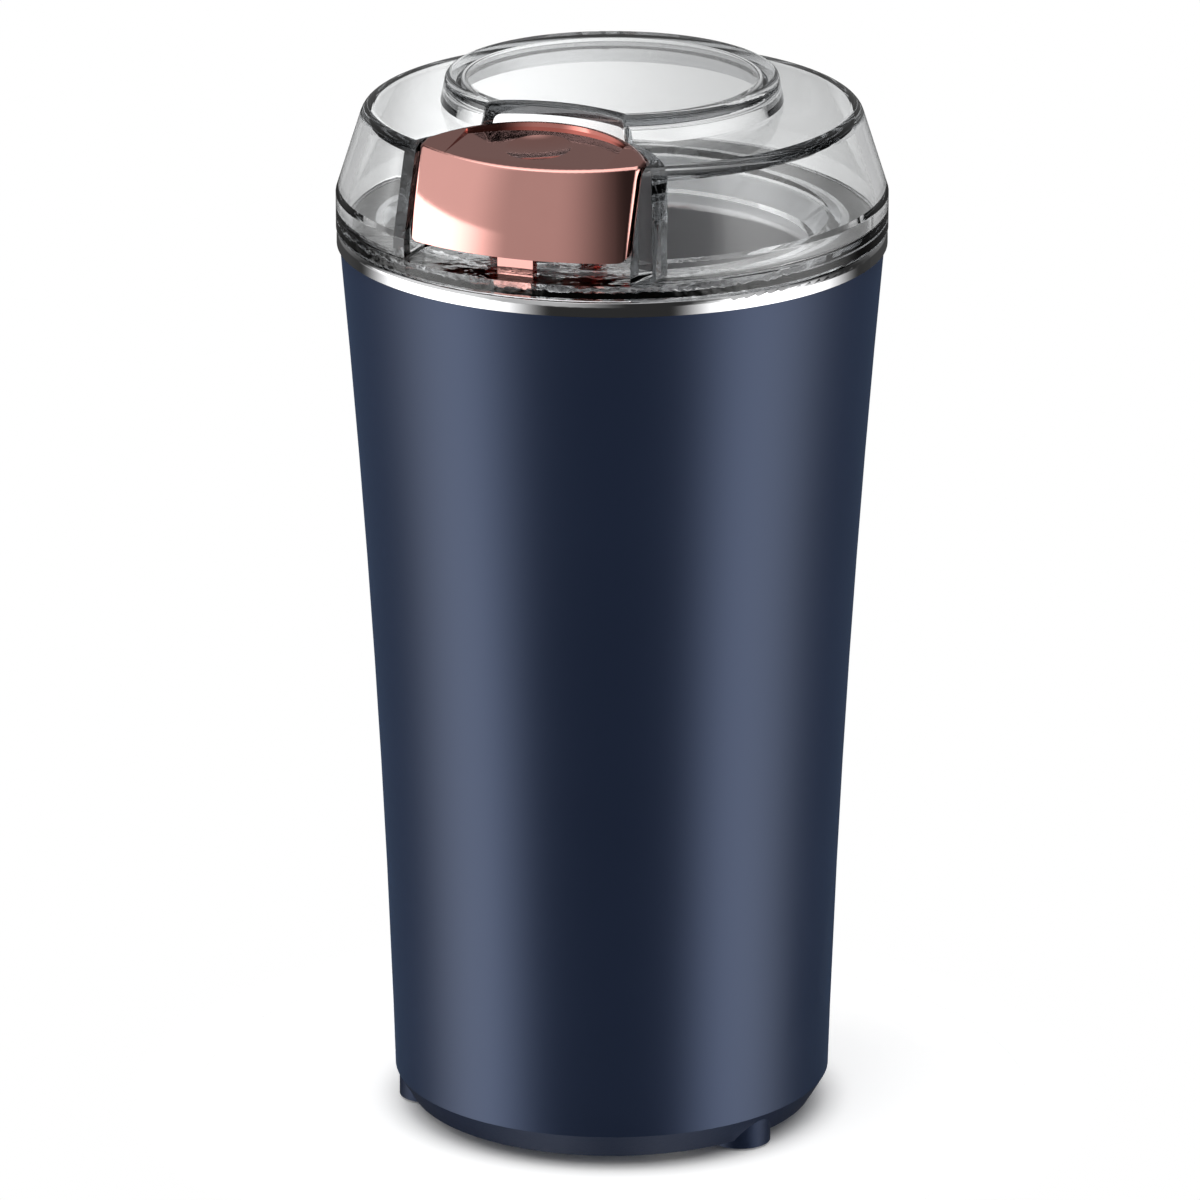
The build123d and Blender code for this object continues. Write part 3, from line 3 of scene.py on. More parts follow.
import bpy
from bpy.props import FloatProperty, FloatVectorProperty, IntProperty, PointerProperty
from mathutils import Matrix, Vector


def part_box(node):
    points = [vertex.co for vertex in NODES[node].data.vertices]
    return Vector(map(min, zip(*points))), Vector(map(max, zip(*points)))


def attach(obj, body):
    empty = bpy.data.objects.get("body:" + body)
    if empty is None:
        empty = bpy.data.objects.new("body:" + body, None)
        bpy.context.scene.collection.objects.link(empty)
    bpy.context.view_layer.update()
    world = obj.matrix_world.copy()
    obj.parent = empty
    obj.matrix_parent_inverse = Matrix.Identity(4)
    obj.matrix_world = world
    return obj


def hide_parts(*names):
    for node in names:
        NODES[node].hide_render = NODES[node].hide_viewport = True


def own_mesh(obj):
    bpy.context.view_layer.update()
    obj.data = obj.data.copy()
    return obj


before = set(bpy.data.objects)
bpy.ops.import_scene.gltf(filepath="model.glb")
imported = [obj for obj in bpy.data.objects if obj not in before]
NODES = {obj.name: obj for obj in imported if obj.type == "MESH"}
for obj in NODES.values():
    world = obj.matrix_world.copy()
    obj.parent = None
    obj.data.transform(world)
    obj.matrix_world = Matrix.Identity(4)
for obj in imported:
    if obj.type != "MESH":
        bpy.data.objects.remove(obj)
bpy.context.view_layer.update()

bl_info = {
    "name": "Coffee Grinder Finishes",
    "version": (1, 0, 0),
    "blender": (4, 5, 0),
    "location": "3D View > Sidebar > Grinder",
    "description": "Gives the packed coffee grinder its finishes, its wound and moulded detail and a studio",
    "category": "Object",
}

SPRING_LOW, SPRING_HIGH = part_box("button_spring")
PADS_LOW, PADS_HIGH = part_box("foot_pads")

# Socket types of the Geometry Nodes trees.
FLOAT, VECTOR, MATERIAL = "NodeSocketFloat", "NodeSocketVector", "NodeSocketMaterial"
GEOMETRY = "NodeSocketGeometry"

# Numbers of a mix node's two inputs and output, whose names are alike, for colours and for vectors.
MIX_COLOUR, MIX_VECTOR = (6, 7, 2), (4, 5, 1)

# Lengths of the grinder in metres. The centre of the side's arc is a radius and a height. The pocket's floor
# lies over the lid's lowest edge. The crinkle ends towards the back, and the bowl's inside at the rim's radii.
SIDE_CENTRE = (2.46028, -0.05944)
POCKET_LIFT, POCKET_FADE = 0.0057, 0.0004
POCKET_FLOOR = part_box("lid_shell")[0].z + POCKET_LIFT
CRINKLE_EDGE = (-0.028, -0.018)
RIM_EDGE = (0.0435, 0.0448)
SHEET_THICKNESS = 0.0005
WELD_REACH = 0.000002

# Screw heads, each a radius and a height, and the radii of the shanks.
BASE_HEAD, MOTOR_HEAD, SWITCH_HEAD = (0.0028, 0.0020), (0.0028, 0.0020), (0.0019, 0.0012)
WIDE_SHANK, SMALL_SHANK = 0.0015, 0.001

# Shares of a screw's outline, from the middle of its head to its tip, where a stretch starts or ends.
SCREW_TOP, SCREW_SIDE, SCREW_NECK, SCREW_END = 0.30, 0.40, 0.44, 0.97
THREAD_IN, THREAD_OUT, TIP_IN, RECESS_WALL = (0.46, 0.49), (0.92, 0.95), (0.95, 1.0), 0.29

# Shares of a screw's head and shank: the recess's arms, the drops of recess, crown and side, and the thread.
RECESS_WIDTH, RECESS_LENGTH = (0.10, 0.15), (0.40, 0.56)
RECESS_DROP, CROWN_DROP, CROWN_POWER, SIDE_DROP = 0.45, 0.3, 4.0, 0.7
THREAD_DEPTH = 0.36

# Shares of a pad's outline where a stretch ends, and of its height for the bevel and the grooves.
PAD_TOP, PAD_SIDE, PAD_BEVEL = 0.2, 0.3, 0.36
BEVEL_RISE, GROOVE_RISE = 0.2, 0.14

# Cosines of the angle between mesh and arc over which the arc's normal takes over, and the bend, in radians,
# from which an edge is sharp.
ARC_AGREES = (0.95, 0.985)
SHARP_BEND = 0.7

# Studio: bearings in degrees, 0 towards the camera and rising to its right, where a light comes in and goes
# out, and how far the two move apart at level heights.
DEGREE = 180.0 / math.pi
RIGHT_IN, RIGHT_OUT, RIGHT_WIDER = (30.0, 64.0), (66.0, 112.0), (7.0, 16.0)
STRIPE_IN, STRIPE_OUT, STRIPE_WIDER = (-116.0, -68.0), (-72.0, -34.0), (16.0, 10.0)
CARD_IN, CARD_OUT = (-122.0, -100.0), (-26.0, 8.0)
NEAR_OUT, BRIGHT_OUT, FAR_IN = (-66.0, -44.0), (-80.0, -44.0), (118.0, 150.0)

# Studio: heights in degrees, with a slanted edge under which the panels are brighter. The top goes by the
# share of a direction that points up.
RAISED_IN, LEVEL_IN, EDGE_BLUR, TOP_IN = (-10.0, -2.0), (-21.0, -15.0), (-0.4, 0.4), (0.70, 0.90)
EDGE_HEIGHT, EDGE_BEARING, EDGE_LEFT, EDGE_RIGHT = 8.5, -45.0, 0.05, 0.10

# Studio: strengths of the lights.
DIM_LIGHT, STRIPE_LIGHT, TOP_LIGHT = 0.03, 2.80, 1.25
CARD_LIGHT, NEAR_LIGHT, BRIGHT_LIGHT = 0.50, 0.36, 2.4
RIGHT_LIGHT, RIGHT_BRIGHT_LIGHT = 0.60, 1.95
FAR_LIGHT, FAR_RAISED_LIGHT = 0.03, 0.14
THROUGH_LIGHT, THROUGH_FAR_LIGHT = 0.32, 0.46
FLOOR_LIGHT = 0.5
LIGHT_BOUNCES = 32

# Studio: lengths in metres. The floor's light and edge go by radius, and inside the first radii the floor gets
# none of its glow, a painted contact shadow round the grinder; the backdrop's light goes from one place across
# to another, and from one strength to another.
FLOOR_RADIUS, FLOOR_SIDES = 0.2, 96
PAINTED_SHADOW_RADII, FLOOR_EDGE = (0.032, 0.042), (0.044, 0.085)
BACKDROP_BEHIND, BACKDROP_HALF, BACKDROP_LOW, BACKDROP_HIGH = 0.2, 0.12, 0.02, 0.3
BACKDROP_RISE, BACKDROP_FALL = (-0.06, -0.03, 1.1, 1.85), (-0.03, 0.03, 1.0, 0.56)
CLIP_START, CLIP_END = 0.1, 20.0
SENSOR_WIDTH = 36.0


class Value:
    """A shader socket that can stand in a Python expression."""

    def __init__(self, shade, socket):
        self.shade = shade
        self.socket = socket

    def maths(self, operation, first, second=0.0):
        """One step of arithmetic."""
        return self.shade.node("ShaderNodeMath", {"operation": operation}, {0: first, 1: second})

    def __add__(self, other):
        return self.maths("ADD", self, other)

    def __radd__(self, other):
        return self.maths("ADD", other, self)

    def __sub__(self, other):
        return self.maths("SUBTRACT", self, other)

    def __rsub__(self, other):
        return self.maths("SUBTRACT", other, self)

    def __mul__(self, other):
        return self.maths("MULTIPLY", self, other)

    def __rmul__(self, other):
        return self.maths("MULTIPLY", other, self)

    def __truediv__(self, other):
        return self.maths("DIVIDE", self, other)

    def __pow__(self, other):
        return self.maths("POWER", self, other)

    def most(self, other):
        """The greater of two numbers."""
        return self.maths("MAXIMUM", self, other)

    def size(self):
        """The number without its sign."""
        return self.maths("ABSOLUTE", self)


class Shade:
    """Writes one shader tree, a material's or the world's."""

    def __init__(self, tree):
        self.tree = tree
        tree.nodes.clear()

    def node(self, kind, settings=None, sockets=None, out=0):
        """Adds a node, with its settings first and then its sockets, and returns one of its outputs."""
        made = self.tree.nodes.new(kind)
        for key, value in (settings or {}).items():
            setattr(made, key, value)
        for key, value in (sockets or {}).items():
            socket = made.inputs[key]
            if isinstance(value, Value):
                self.tree.links.new(value.socket, socket)
            elif socket.type == "RGBA":
                socket.default_value = (*value[:3], 1.0)
            else:
                socket.default_value = value
        return Value(self, made.outputs[out]) if len(made.outputs) else None

    def place(self):
        """Object coordinates, in metres."""
        return self.node("ShaderNodeTexCoord", out="Object")

    def parts(self, vector):
        """The three numbers of a vector."""
        made = self.node("ShaderNodeSeparateXYZ", sockets={0: vector})
        return [Value(self, made.socket.node.outputs[axis]) for axis in "XYZ"]

    def point(self, x, y, z):
        """A vector from three numbers."""
        return self.node("ShaderNodeCombineXYZ", sockets={0: x, 1: y, 2: z})

    def spread(self, x, y):
        """Distance from the grinder's axis."""
        return (x * x + y * y) ** 0.5

    def noise(self, place, scale, detail=2.0, rough=0.5):
        """Soft noise from 0 to 1 with a number of waves per metre."""
        sockets = {"Vector": place, "Scale": scale, "Detail": detail, "Roughness": rough}
        return self.node("ShaderNodeTexNoise", sockets=sockets)

    def ramp(self, value, low, high, start=0.0, end=1.0):
        """A smooth step of a number from one limit to the other."""
        sockets = {"Value": value, 1: low, 2: high, 3: start, 4: end}
        return self.node("ShaderNodeMapRange", {"interpolation_type": "SMOOTHSTEP"}, sockets)

    def mix(self, share, first, second):
        """A colour between two colours."""
        start, end, out = MIX_COLOUR
        sockets = {"Factor": share, start: first, end: second}
        return self.node("ShaderNodeMix", {"data_type": "RGBA"}, sockets, out)

    def mix_number(self, share, first, second):
        """A number between two numbers."""
        return first + (second - first) * share

    def bump(self, height, strength, depth, normal=None):
        """A normal from a height, over the mesh's own normal or a given one."""
        sockets = {"Strength": strength, "Distance": depth, "Height": height}
        if normal:
            sockets["Normal"] = normal
        return self.node("ShaderNodeBump", sockets=sockets)

    def surface(self, volume=None, **sockets):
        """The surface shader, with a volume where there is one, and the tree's output."""
        named = {key.replace("_", " "): value for key, value in sockets.items()}
        ends = {"Surface": self.node("ShaderNodeBsdfPrincipled", sockets=named)}
        if volume:
            ends["Volume"] = volume
        self.node("ShaderNodeOutputMaterial", sockets=ends)


def finish(name):
    """A new material and the tree to write in it."""
    material = bpy.data.materials.new(name)
    material.use_nodes = True
    return material, Shade(material.node_tree)


def darker(colour, share):
    """A colour at a share of its strength."""
    return tuple(channel * share for channel in colour)


def side_normal(shade, place):
    """Normal of the housing's side from its own arc, and the mesh's normal on every other face."""
    x, y, z = shade.parts(place)
    radius = shade.spread(x, y)
    stretch = (SIDE_CENTRE[0] - radius) / radius
    way = shade.point(x * stretch, y * stretch, SIDE_CENTRE[1] - z)
    arc = shade.node("ShaderNodeVectorMath", {"operation": "NORMALIZE"}, {0: way})
    own = shade.node("ShaderNodeNewGeometry", out="Normal")
    likeness = shade.node(
        "ShaderNodeVectorMath", {"operation": "DOT_PRODUCT"}, {0: arc, 1: own}, out="Value"
    )
    share = shade.ramp(likeness, *ARC_AGREES)
    start, end, out = MIX_VECTOR
    sockets = {"Factor": share, start: own, end: arc}
    return shade.node("ShaderNodeMix", {"data_type": "VECTOR"}, sockets, out)


def lacquer(name, colour, tint, rough):
    """Sprayed lacquer: an even film with a faint cloud in its depth and a fine peel on top."""
    material, shade = finish(name)
    place = shade.place()
    cloud = shade.noise(place, scale=14.0, detail=3.0)
    peel = shade.noise(place, scale=1500.0)
    shade.surface(
        Base_Color=shade.mix(cloud, darker(colour, 0.86), darker(colour, 1.14)),
        Roughness=rough + cloud * 0.06 + peel * 0.03,
        Specular_IOR_Level=0.74,
        Specular_Tint=tint,
        Sheen_Weight=0.15,
        Sheen_Roughness=0.4,
        Sheen_Tint=(0.10, 0.36, 0.85),
        Normal=shade.bump(peel, strength=0.05, depth=0.00006, normal=side_normal(shade, place)),
    )
    return material


def moulding(name, colour, rough, grain, gloss=0.5, tint=(1.0, 1.0, 1.0)):
    """Moulded plastic with a spark-eroded grain and a slight change of tone along the flow."""
    material, shade = finish(name)
    place = shade.place()
    flow = shade.noise(place, scale=40.0, detail=3.0)
    pits = shade.noise(place, scale=grain, detail=3.0, rough=0.6)
    shade.surface(
        Base_Color=shade.mix(flow, darker(colour, 0.85), darker(colour, 1.15)),
        Roughness=rough + pits * 0.14 - flow * 0.05,
        Specular_IOR_Level=gloss,
        Specular_Tint=tint,
        Normal=shade.bump(pits, strength=0.25, depth=0.00012),
    )
    return material


def rubber(name, colour):
    """Matt rubber, mottled and finely pitted, with a pale bloom."""
    material, shade = finish(name)
    place = shade.place()
    bloom = shade.noise(place, scale=160.0, detail=4.0, rough=0.6)
    pits = shade.noise(place, scale=2200.0)
    shade.surface(
        Base_Color=shade.mix(bloom, darker(colour, 0.8), darker(colour, 1.4)),
        Roughness=0.66 + bloom * 0.2,
        Normal=shade.bump(pits, strength=0.3, depth=0.0001),
    )
    return material


def metal(name, colour, rough, lines, stretch=(1.0, 1.0, 1.0), depth=0.00003):
    """Worked metal: lines drawn out along the direction of the work, over a faint stain."""
    material, shade = finish(name)
    place = shade.place()
    drawn = shade.node("ShaderNodeMapping", sockets={"Vector": place, "Scale": stretch})
    work = shade.noise(drawn, scale=lines, detail=4.0, rough=0.6)
    stain = shade.noise(place, scale=60.0, detail=3.0)
    shade.surface(
        Base_Color=shade.mix(stain, darker(colour, 0.9), darker(colour, 1.06)),
        Metallic=1.0,
        Roughness=rough + work * 0.12 + stain * 0.06,
        Normal=shade.bump(work, strength=0.22, depth=depth),
    )
    return material


def turned(name, colour, rough, rings):
    """Turned metal: fine rings round the grinder's own axis."""
    material, shade = finish(name)
    place = shade.place()
    x, y, z = shade.parts(place)
    radius = shade.spread(x, y)
    work = shade.noise(shade.point(radius, 0.0, z), scale=rings, detail=3.0, rough=0.7)
    stain = shade.noise(place, scale=50.0, detail=3.0)
    shade.surface(
        Base_Color=shade.mix(stain, darker(colour, 0.92), darker(colour, 1.05)),
        Metallic=1.0,
        Roughness=rough + work * 0.1 + stain * 0.05,
        Normal=shade.bump(work, strength=0.2, depth=0.00002),
    )
    return material


def sheets(name, colour):
    """A stack of punched sheets: thin dark joints across the shaft, with a blued tone."""
    material, shade = finish(name)
    place = shade.place()
    height = shade.parts(place)[2]
    level = shade.node("ShaderNodeMath", {"operation": "FRACT"}, {0: height / SHEET_THICKNESS})
    joint = shade.ramp(level, low=0.78, high=0.94)
    blue = shade.noise(place, scale=90.0, detail=3.0)
    shade.surface(
        Base_Color=shade.mix(
            joint, shade.mix(blue, colour, darker(colour, 0.7)), darker(colour, 0.35)
        ),
        Metallic=0.9,
        Roughness=0.36 + blue * 0.12 + joint * 0.2,
        Normal=shade.bump(1.0 - joint, strength=0.5, depth=0.0001),
    )
    return material


def winding(name, colour):
    """Wound copper wire under lacquer: strands side by side, a little uneven."""
    material, shade = finish(name)
    place = shade.place()
    wobble = shade.noise(place, scale=140.0)
    wave = shade.node(
        "ShaderNodeTexWave",
        {"wave_type": "BANDS", "bands_direction": "DIAGONAL", "wave_profile": "SIN"},
        {"Vector": place, "Scale": 520.0, "Distortion": 2.4, "Detail": 1.0, "Detail Scale": 0.6},
        out=1,
    )
    shade.surface(
        Base_Color=shade.mix(
            wave, darker(colour, 0.35), shade.mix(wobble, colour, darker(colour, 1.15))
        ),
        Metallic=0.85,
        Roughness=0.24 + wobble * 0.16,
        Coat_Weight=0.5,
        Coat_Roughness=0.2,
        Normal=shade.bump(wave, strength=0.7, depth=0.0003),
    )
    return material


def clear_moulding(name, colour):
    """Clear polished moulding, grey in its depth: faint flow, hairline wear and a crinkled foot in front."""
    material, shade = finish(name)
    place = shade.place()
    flow = shade.noise(place, scale=26.0, detail=1.0)
    drawn = shade.node(
        "ShaderNodeMapping",
        sockets={"Vector": place, "Rotation": (0.4, 0.7, 0.2), "Scale": (1.0, 0.03, 1.0)},
    )
    hairline = shade.ramp(shade.noise(drawn, scale=1400.0), low=0.66, high=0.74)
    y, z = shade.parts(place)[1:]
    under = 1.0 - shade.ramp(z, POCKET_FLOOR, POCKET_FLOOR + POCKET_FADE)
    foot = under * (1.0 - shade.ramp(y, *CRINKLE_EDGE))
    crinkle = shade.noise(place, scale=330.0) * foot
    depth = shade.node(
        "ShaderNodeVolumeAbsorption", sockets={"Color": (0.50, 0.51, 0.52), "Density": 68.0}
    )
    shade.surface(
        volume=depth,
        Base_Color=shade.mix(flow, colour, darker(colour, 0.97)),
        Roughness=0.012 + hairline * 0.05,
        Transmission_Weight=1.0,
        IOR=1.49,
        Normal=shade.bump(flow * 0.04 + crinkle * 0.6, strength=1.0, depth=0.0006),
    )
    return material


def rose_gold(name, colour):
    """Metallised gloss: a mirror film with a soft peel and a few darker clouds."""
    material, shade = finish(name)
    place = shade.place()
    cloud = shade.noise(place, scale=70.0, detail=3.0)
    peel = shade.noise(place, scale=420.0)
    shade.surface(
        Base_Color=shade.mix(cloud, darker(colour, 0.93), darker(colour, 1.05)),
        Metallic=1.0,
        Roughness=0.035 + cloud * 0.02 + peel * 0.015,
        Normal=shade.bump(peel, strength=0.03, depth=0.00005),
    )
    return material


def bowl_steel(name, colour):
    """Drawn steel: a mirror-bright rolled rim, and fine polishing rings inside the bowl."""
    material, shade = finish(name)
    place = shade.place()
    x, y, z = shade.parts(place)
    radius = shade.spread(x, y)
    inside = 1.0 - shade.ramp(radius, *RIM_EDGE)
    rings = shade.noise(shade.point(radius, 0.0, z), scale=2600.0, detail=3.0, rough=0.7)
    stain = shade.noise(place, scale=45.0, detail=3.0)
    shade.surface(
        Base_Color=shade.mix(
            inside, shade.mix(stain, colour, darker(colour, 0.94)), darker(colour, 0.92)
        ),
        Metallic=1.0,
        Roughness=0.05 + inside * (0.24 + rings * 0.14) + stain * 0.03,
        Normal=shade.bump(rings * inside, strength=0.25, depth=0.00002),
    )
    return material


def dress(material, *names):
    """Puts a finish on CAD nodes."""
    for name in names:
        NODES[name].material_slots[0].material = material


class GrinderColours(bpy.types.PropertyGroup):
    """Colours of the grinder's main finishes."""

    navy: FloatVectorProperty(
        name="Navy", description="Lacquer of the housing", subtype="COLOR", size=3,
        min=0.0, max=1.0, default=(0.0135, 0.0205, 0.044),
    )
    sheen: FloatVectorProperty(
        name="Navy sheen", description="Tint of the housing's highlights", subtype="COLOR", size=3,
        min=0.0, max=1.0, default=(0.51, 0.64, 1.0),
    )
    gold: FloatVectorProperty(
        name="Rose gold", description="Film on the push button", subtype="COLOR", size=3,
        min=0.0, max=1.0, default=(0.77, 0.39, 0.345),
    )
    clear: FloatVectorProperty(
        name="Clear", description="Tint of the lid", subtype="COLOR", size=3,
        min=0.0, max=1.0, default=(0.985, 0.99, 0.99),
    )
    steel: FloatVectorProperty(
        name="Steel", description="Polished steel of the bowl and its rim", subtype="COLOR", size=3,
        min=0.0, max=1.0, default=(0.80, 0.80, 0.81),
    )


class GrinderSizes(bpy.types.PropertyGroup):
    """Sizes of the pieces that are made here."""

    spring_turns: IntProperty(
        name="Turns", description="Turns of the button spring", default=6, min=2, max=20,
    )
    spring_wire: FloatProperty(
        name="Wire", description="Wire diameter of the button spring", default=0.0008,
        min=0.0002, max=0.003, unit="LENGTH",
    )
    pad_radius: FloatProperty(
        name="Foot pad", description="Radius of a rubber foot pad", default=0.0035,
        min=0.001, max=0.01, unit="LENGTH",
    )
    pad_rings: IntProperty(
        name="Pad rings", description="Grip rings under a foot pad", default=4, min=1, max=12,
    )
    thread_pitch: FloatProperty(
        name="Thread pitch", description="Rise of a turn of the case and motor screws' thread",
        default=0.0012, min=0.0003, max=0.005, unit="LENGTH",
    )
    small_pitch: FloatProperty(
        name="Small pitch", description="Rise of a turn of the switch screws' thread", default=0.0007,
        min=0.0002, max=0.005, unit="LENGTH",
    )


class StudioSettings(bpy.types.PropertyGroup):
    """Camera and light of the studio."""

    distance: FloatProperty(
        name="Distance", description="Level distance from the camera to the grinder's axis",
        default=1.5007, unit="LENGTH",
    )
    height: FloatProperty(name="Height", description="Height of the camera", default=0.5827, unit="LENGTH")
    turn: FloatProperty(
        name="Turn", description="Turn of the camera from the button's side", default=math.radians(22.0),
        subtype="ANGLE",
    )
    pitch: FloatProperty(
        name="Pitch", description="Downward tilt of the camera", default=math.radians(18.213),
        subtype="ANGLE",
    )
    pan: FloatProperty(
        name="Pan", description="Sideways turn that sets the grinder a little off the middle",
        default=math.radians(0.0773), subtype="ANGLE",
    )
    lens: FloatProperty(
        name="Lens", description="Focal length on a 36 mm sensor", default=280.857, unit="CAMERA",
    )


def studio_world(turn):
    """World with two tall side panels, a dark gap at the front and a soft top, plain white to the camera."""
    world = bpy.data.worlds.new("studio")
    world.use_nodes = True
    shade = Shade(world.node_tree)
    x, y, z = shade.parts(shade.node("ShaderNodeTexCoord", out="Generated"))
    right = x * math.cos(turn) + y * math.sin(turn)
    front = x * math.sin(turn) - y * math.cos(turn)
    bearing = shade.node("ShaderNodeMath", {"operation": "ARCTAN2"}, {0: right, 1: front}) * DEGREE
    height = shade.node("ShaderNodeMath", {"operation": "ARCSINE"}, {0: z}) * DEGREE
    camera = shade.node("ShaderNodeLightPath", out="Is Camera Ray")
    through = shade.node("ShaderNodeLightPath", out="Is Transmission Ray")
    raised = shade.ramp(height, *RAISED_IN)
    level_zone = shade.ramp(height, *LEVEL_IN) * (1.0 - raised)

    def window(come, go, wider=(0.0, 0.0)):
        """1 between the bearings where a light comes in and goes out, further apart at level heights."""
        start, end = bearing + level_zone * wider[0], bearing - level_zone * wider[1]
        return shade.ramp(start, *come) * (1.0 - shade.ramp(end, *go))

    left_slope = (EDGE_BEARING - bearing).most(0.0) * EDGE_LEFT
    right_slope = (bearing - EDGE_BEARING).most(0.0) * EDGE_RIGHT
    edge = EDGE_HEIGHT - left_slope + right_slope
    below = 1.0 - shade.ramp(height - edge, *EDGE_BLUR)
    right_panel = window(RIGHT_IN, RIGHT_OUT, RIGHT_WIDER)
    stripe = window(STRIPE_IN, STRIPE_OUT, STRIPE_WIDER) * STRIPE_LIGHT
    near = 1.0 - shade.ramp(bearing, *NEAR_OUT)
    bright = below * (1.0 - shade.ramp(bearing, *BRIGHT_OUT))
    card = window(CARD_IN, CARD_OUT) * (CARD_LIGHT + near * NEAR_LIGHT + bright * BRIGHT_LIGHT)
    top = shade.ramp(z, *TOP_IN)
    far = shade.ramp(bearing.size(), *FAR_IN)
    level = (
        DIM_LIGHT
        + shade.mix_number(raised, stripe, card)
        + right_panel * (RIGHT_LIGHT + below * RIGHT_BRIGHT_LIGHT)
        + top * (TOP_LIGHT - through)
        + far * (FAR_LIGHT + raised * FAR_RAISED_LIGHT) * (1.0 - through)
        + through * (THROUGH_LIGHT + far * THROUGH_FAR_LIGHT)
    )
    strength = level * (1.0 - camera) + camera
    shader = shade.node(
        "ShaderNodeBackground", sockets={"Color": (1.0, 1.0, 1.0), "Strength": strength}
    )
    shade.node("ShaderNodeOutputWorld", sockets={"Surface": shader})
    bpy.context.scene.world = world


def floor_finish(name):
    """Pale floor that fades into the white round it, that neither mirrors nor the view from below see, and
    whose glow to the camera stops short of the grinder: a painted contact shadow.
    """
    material, shade = finish(name)
    place = shade.place()
    x, y = shade.parts(place)[:2]
    radius = shade.spread(x, y)
    speck = shade.noise(place, scale=300.0)
    card = shade.node(
        "ShaderNodeBsdfDiffuse",
        sockets={"Color": shade.mix(speck, (0.93, 0.93, 0.93), (0.95, 0.95, 0.95)), "Roughness": 0.4},
    )
    gone = shade.node("ShaderNodeBsdfTransparent", sockets={"Color": (1.0, 1.0, 1.0)})
    seen = shade.node("ShaderNodeLightPath", out="Is Camera Ray")
    mirrored = shade.node("ShaderNodeLightPath", out="Is Glossy Ray")
    # Painted shadow: the camera sees the floor's glow only outside a radius round the grinder, so the floor
    # stays darker close round its base.
    light = seen * shade.ramp(radius, *PAINTED_SHADOW_RADII) * FLOOR_LIGHT
    glow = shade.node("ShaderNodeEmission", sockets={"Color": (1.0, 1.0, 1.0), "Strength": light})
    lit = shade.node("ShaderNodeAddShader", sockets={0: card, 1: glow})
    edge = shade.ramp(radius, *FLOOR_EDGE)
    underneath = shade.node("ShaderNodeNewGeometry", out="Backfacing")
    unseen = edge.most(mirrored).most(underneath)
    shader = shade.node("ShaderNodeMixShader", sockets={0: unseen, 1: lit, 2: gone})
    shade.node("ShaderNodeOutputMaterial", sockets={"Surface": shader})
    return material


def backdrop_finish(name, turn):
    """Backdrop seen only through clear pieces: brightest left of the middle, falling to grey at the right."""
    material, shade = finish(name)
    x, y = shade.parts(shade.place())[:2]
    right = x * math.cos(turn) + y * math.sin(turn)
    through = shade.node("ShaderNodeLightPath", out="Is Transmission Ray")
    light = shade.ramp(right, *BACKDROP_RISE) * shade.ramp(right, *BACKDROP_FALL)
    glow = shade.node("ShaderNodeEmission", sockets={"Strength": light})
    gone = shade.node("ShaderNodeBsdfTransparent", sockets={"Color": (1.0, 1.0, 1.0)})
    shader = shade.node("ShaderNodeMixShader", sockets={0: through, 1: gone, 2: glow})
    shade.node("ShaderNodeOutputMaterial", sockets={"Surface": shader})
    return material


def stage_piece(name, corners, material):
    """A flat piece of the stage with the given corners."""
    mesh = bpy.data.meshes.new(name)
    mesh.from_pydata(corners, [], [list(range(len(corners)))])
    mesh.materials.append(material)
    piece = bpy.data.objects.new(name, mesh)
    bpy.context.scene.collection.objects.link(piece)


def nodes_piece(name, tree, inputs, places=()):
    """Turns a Geometry Nodes tree, given its inputs and places, into a plain mesh object at the origin."""
    spots = bpy.data.meshes.new(name + "_spots")
    spots.from_pydata(list(places), [], [])
    mould = bpy.data.objects.new(name + "_mould", spots)
    bpy.context.scene.collection.objects.link(mould)
    modifier = mould.modifiers.new(name, "NODES")
    modifier.node_group = tree
    for item in tree.interface.items_tree:
        if item.item_type == "SOCKET" and item.in_out == "INPUT" and item.name in inputs:
            modifier[item.identifier] = inputs[item.name]
    depsgraph = bpy.context.evaluated_depsgraph_get()
    mesh = bpy.data.meshes.new_from_object(mould.evaluated_get(depsgraph), depsgraph=depsgraph)
    bpy.data.objects.remove(mould)
    mesh.name = name
    piece = bpy.data.objects.new(name, mesh)
    bpy.context.scene.collection.objects.link(piece)
    return piece


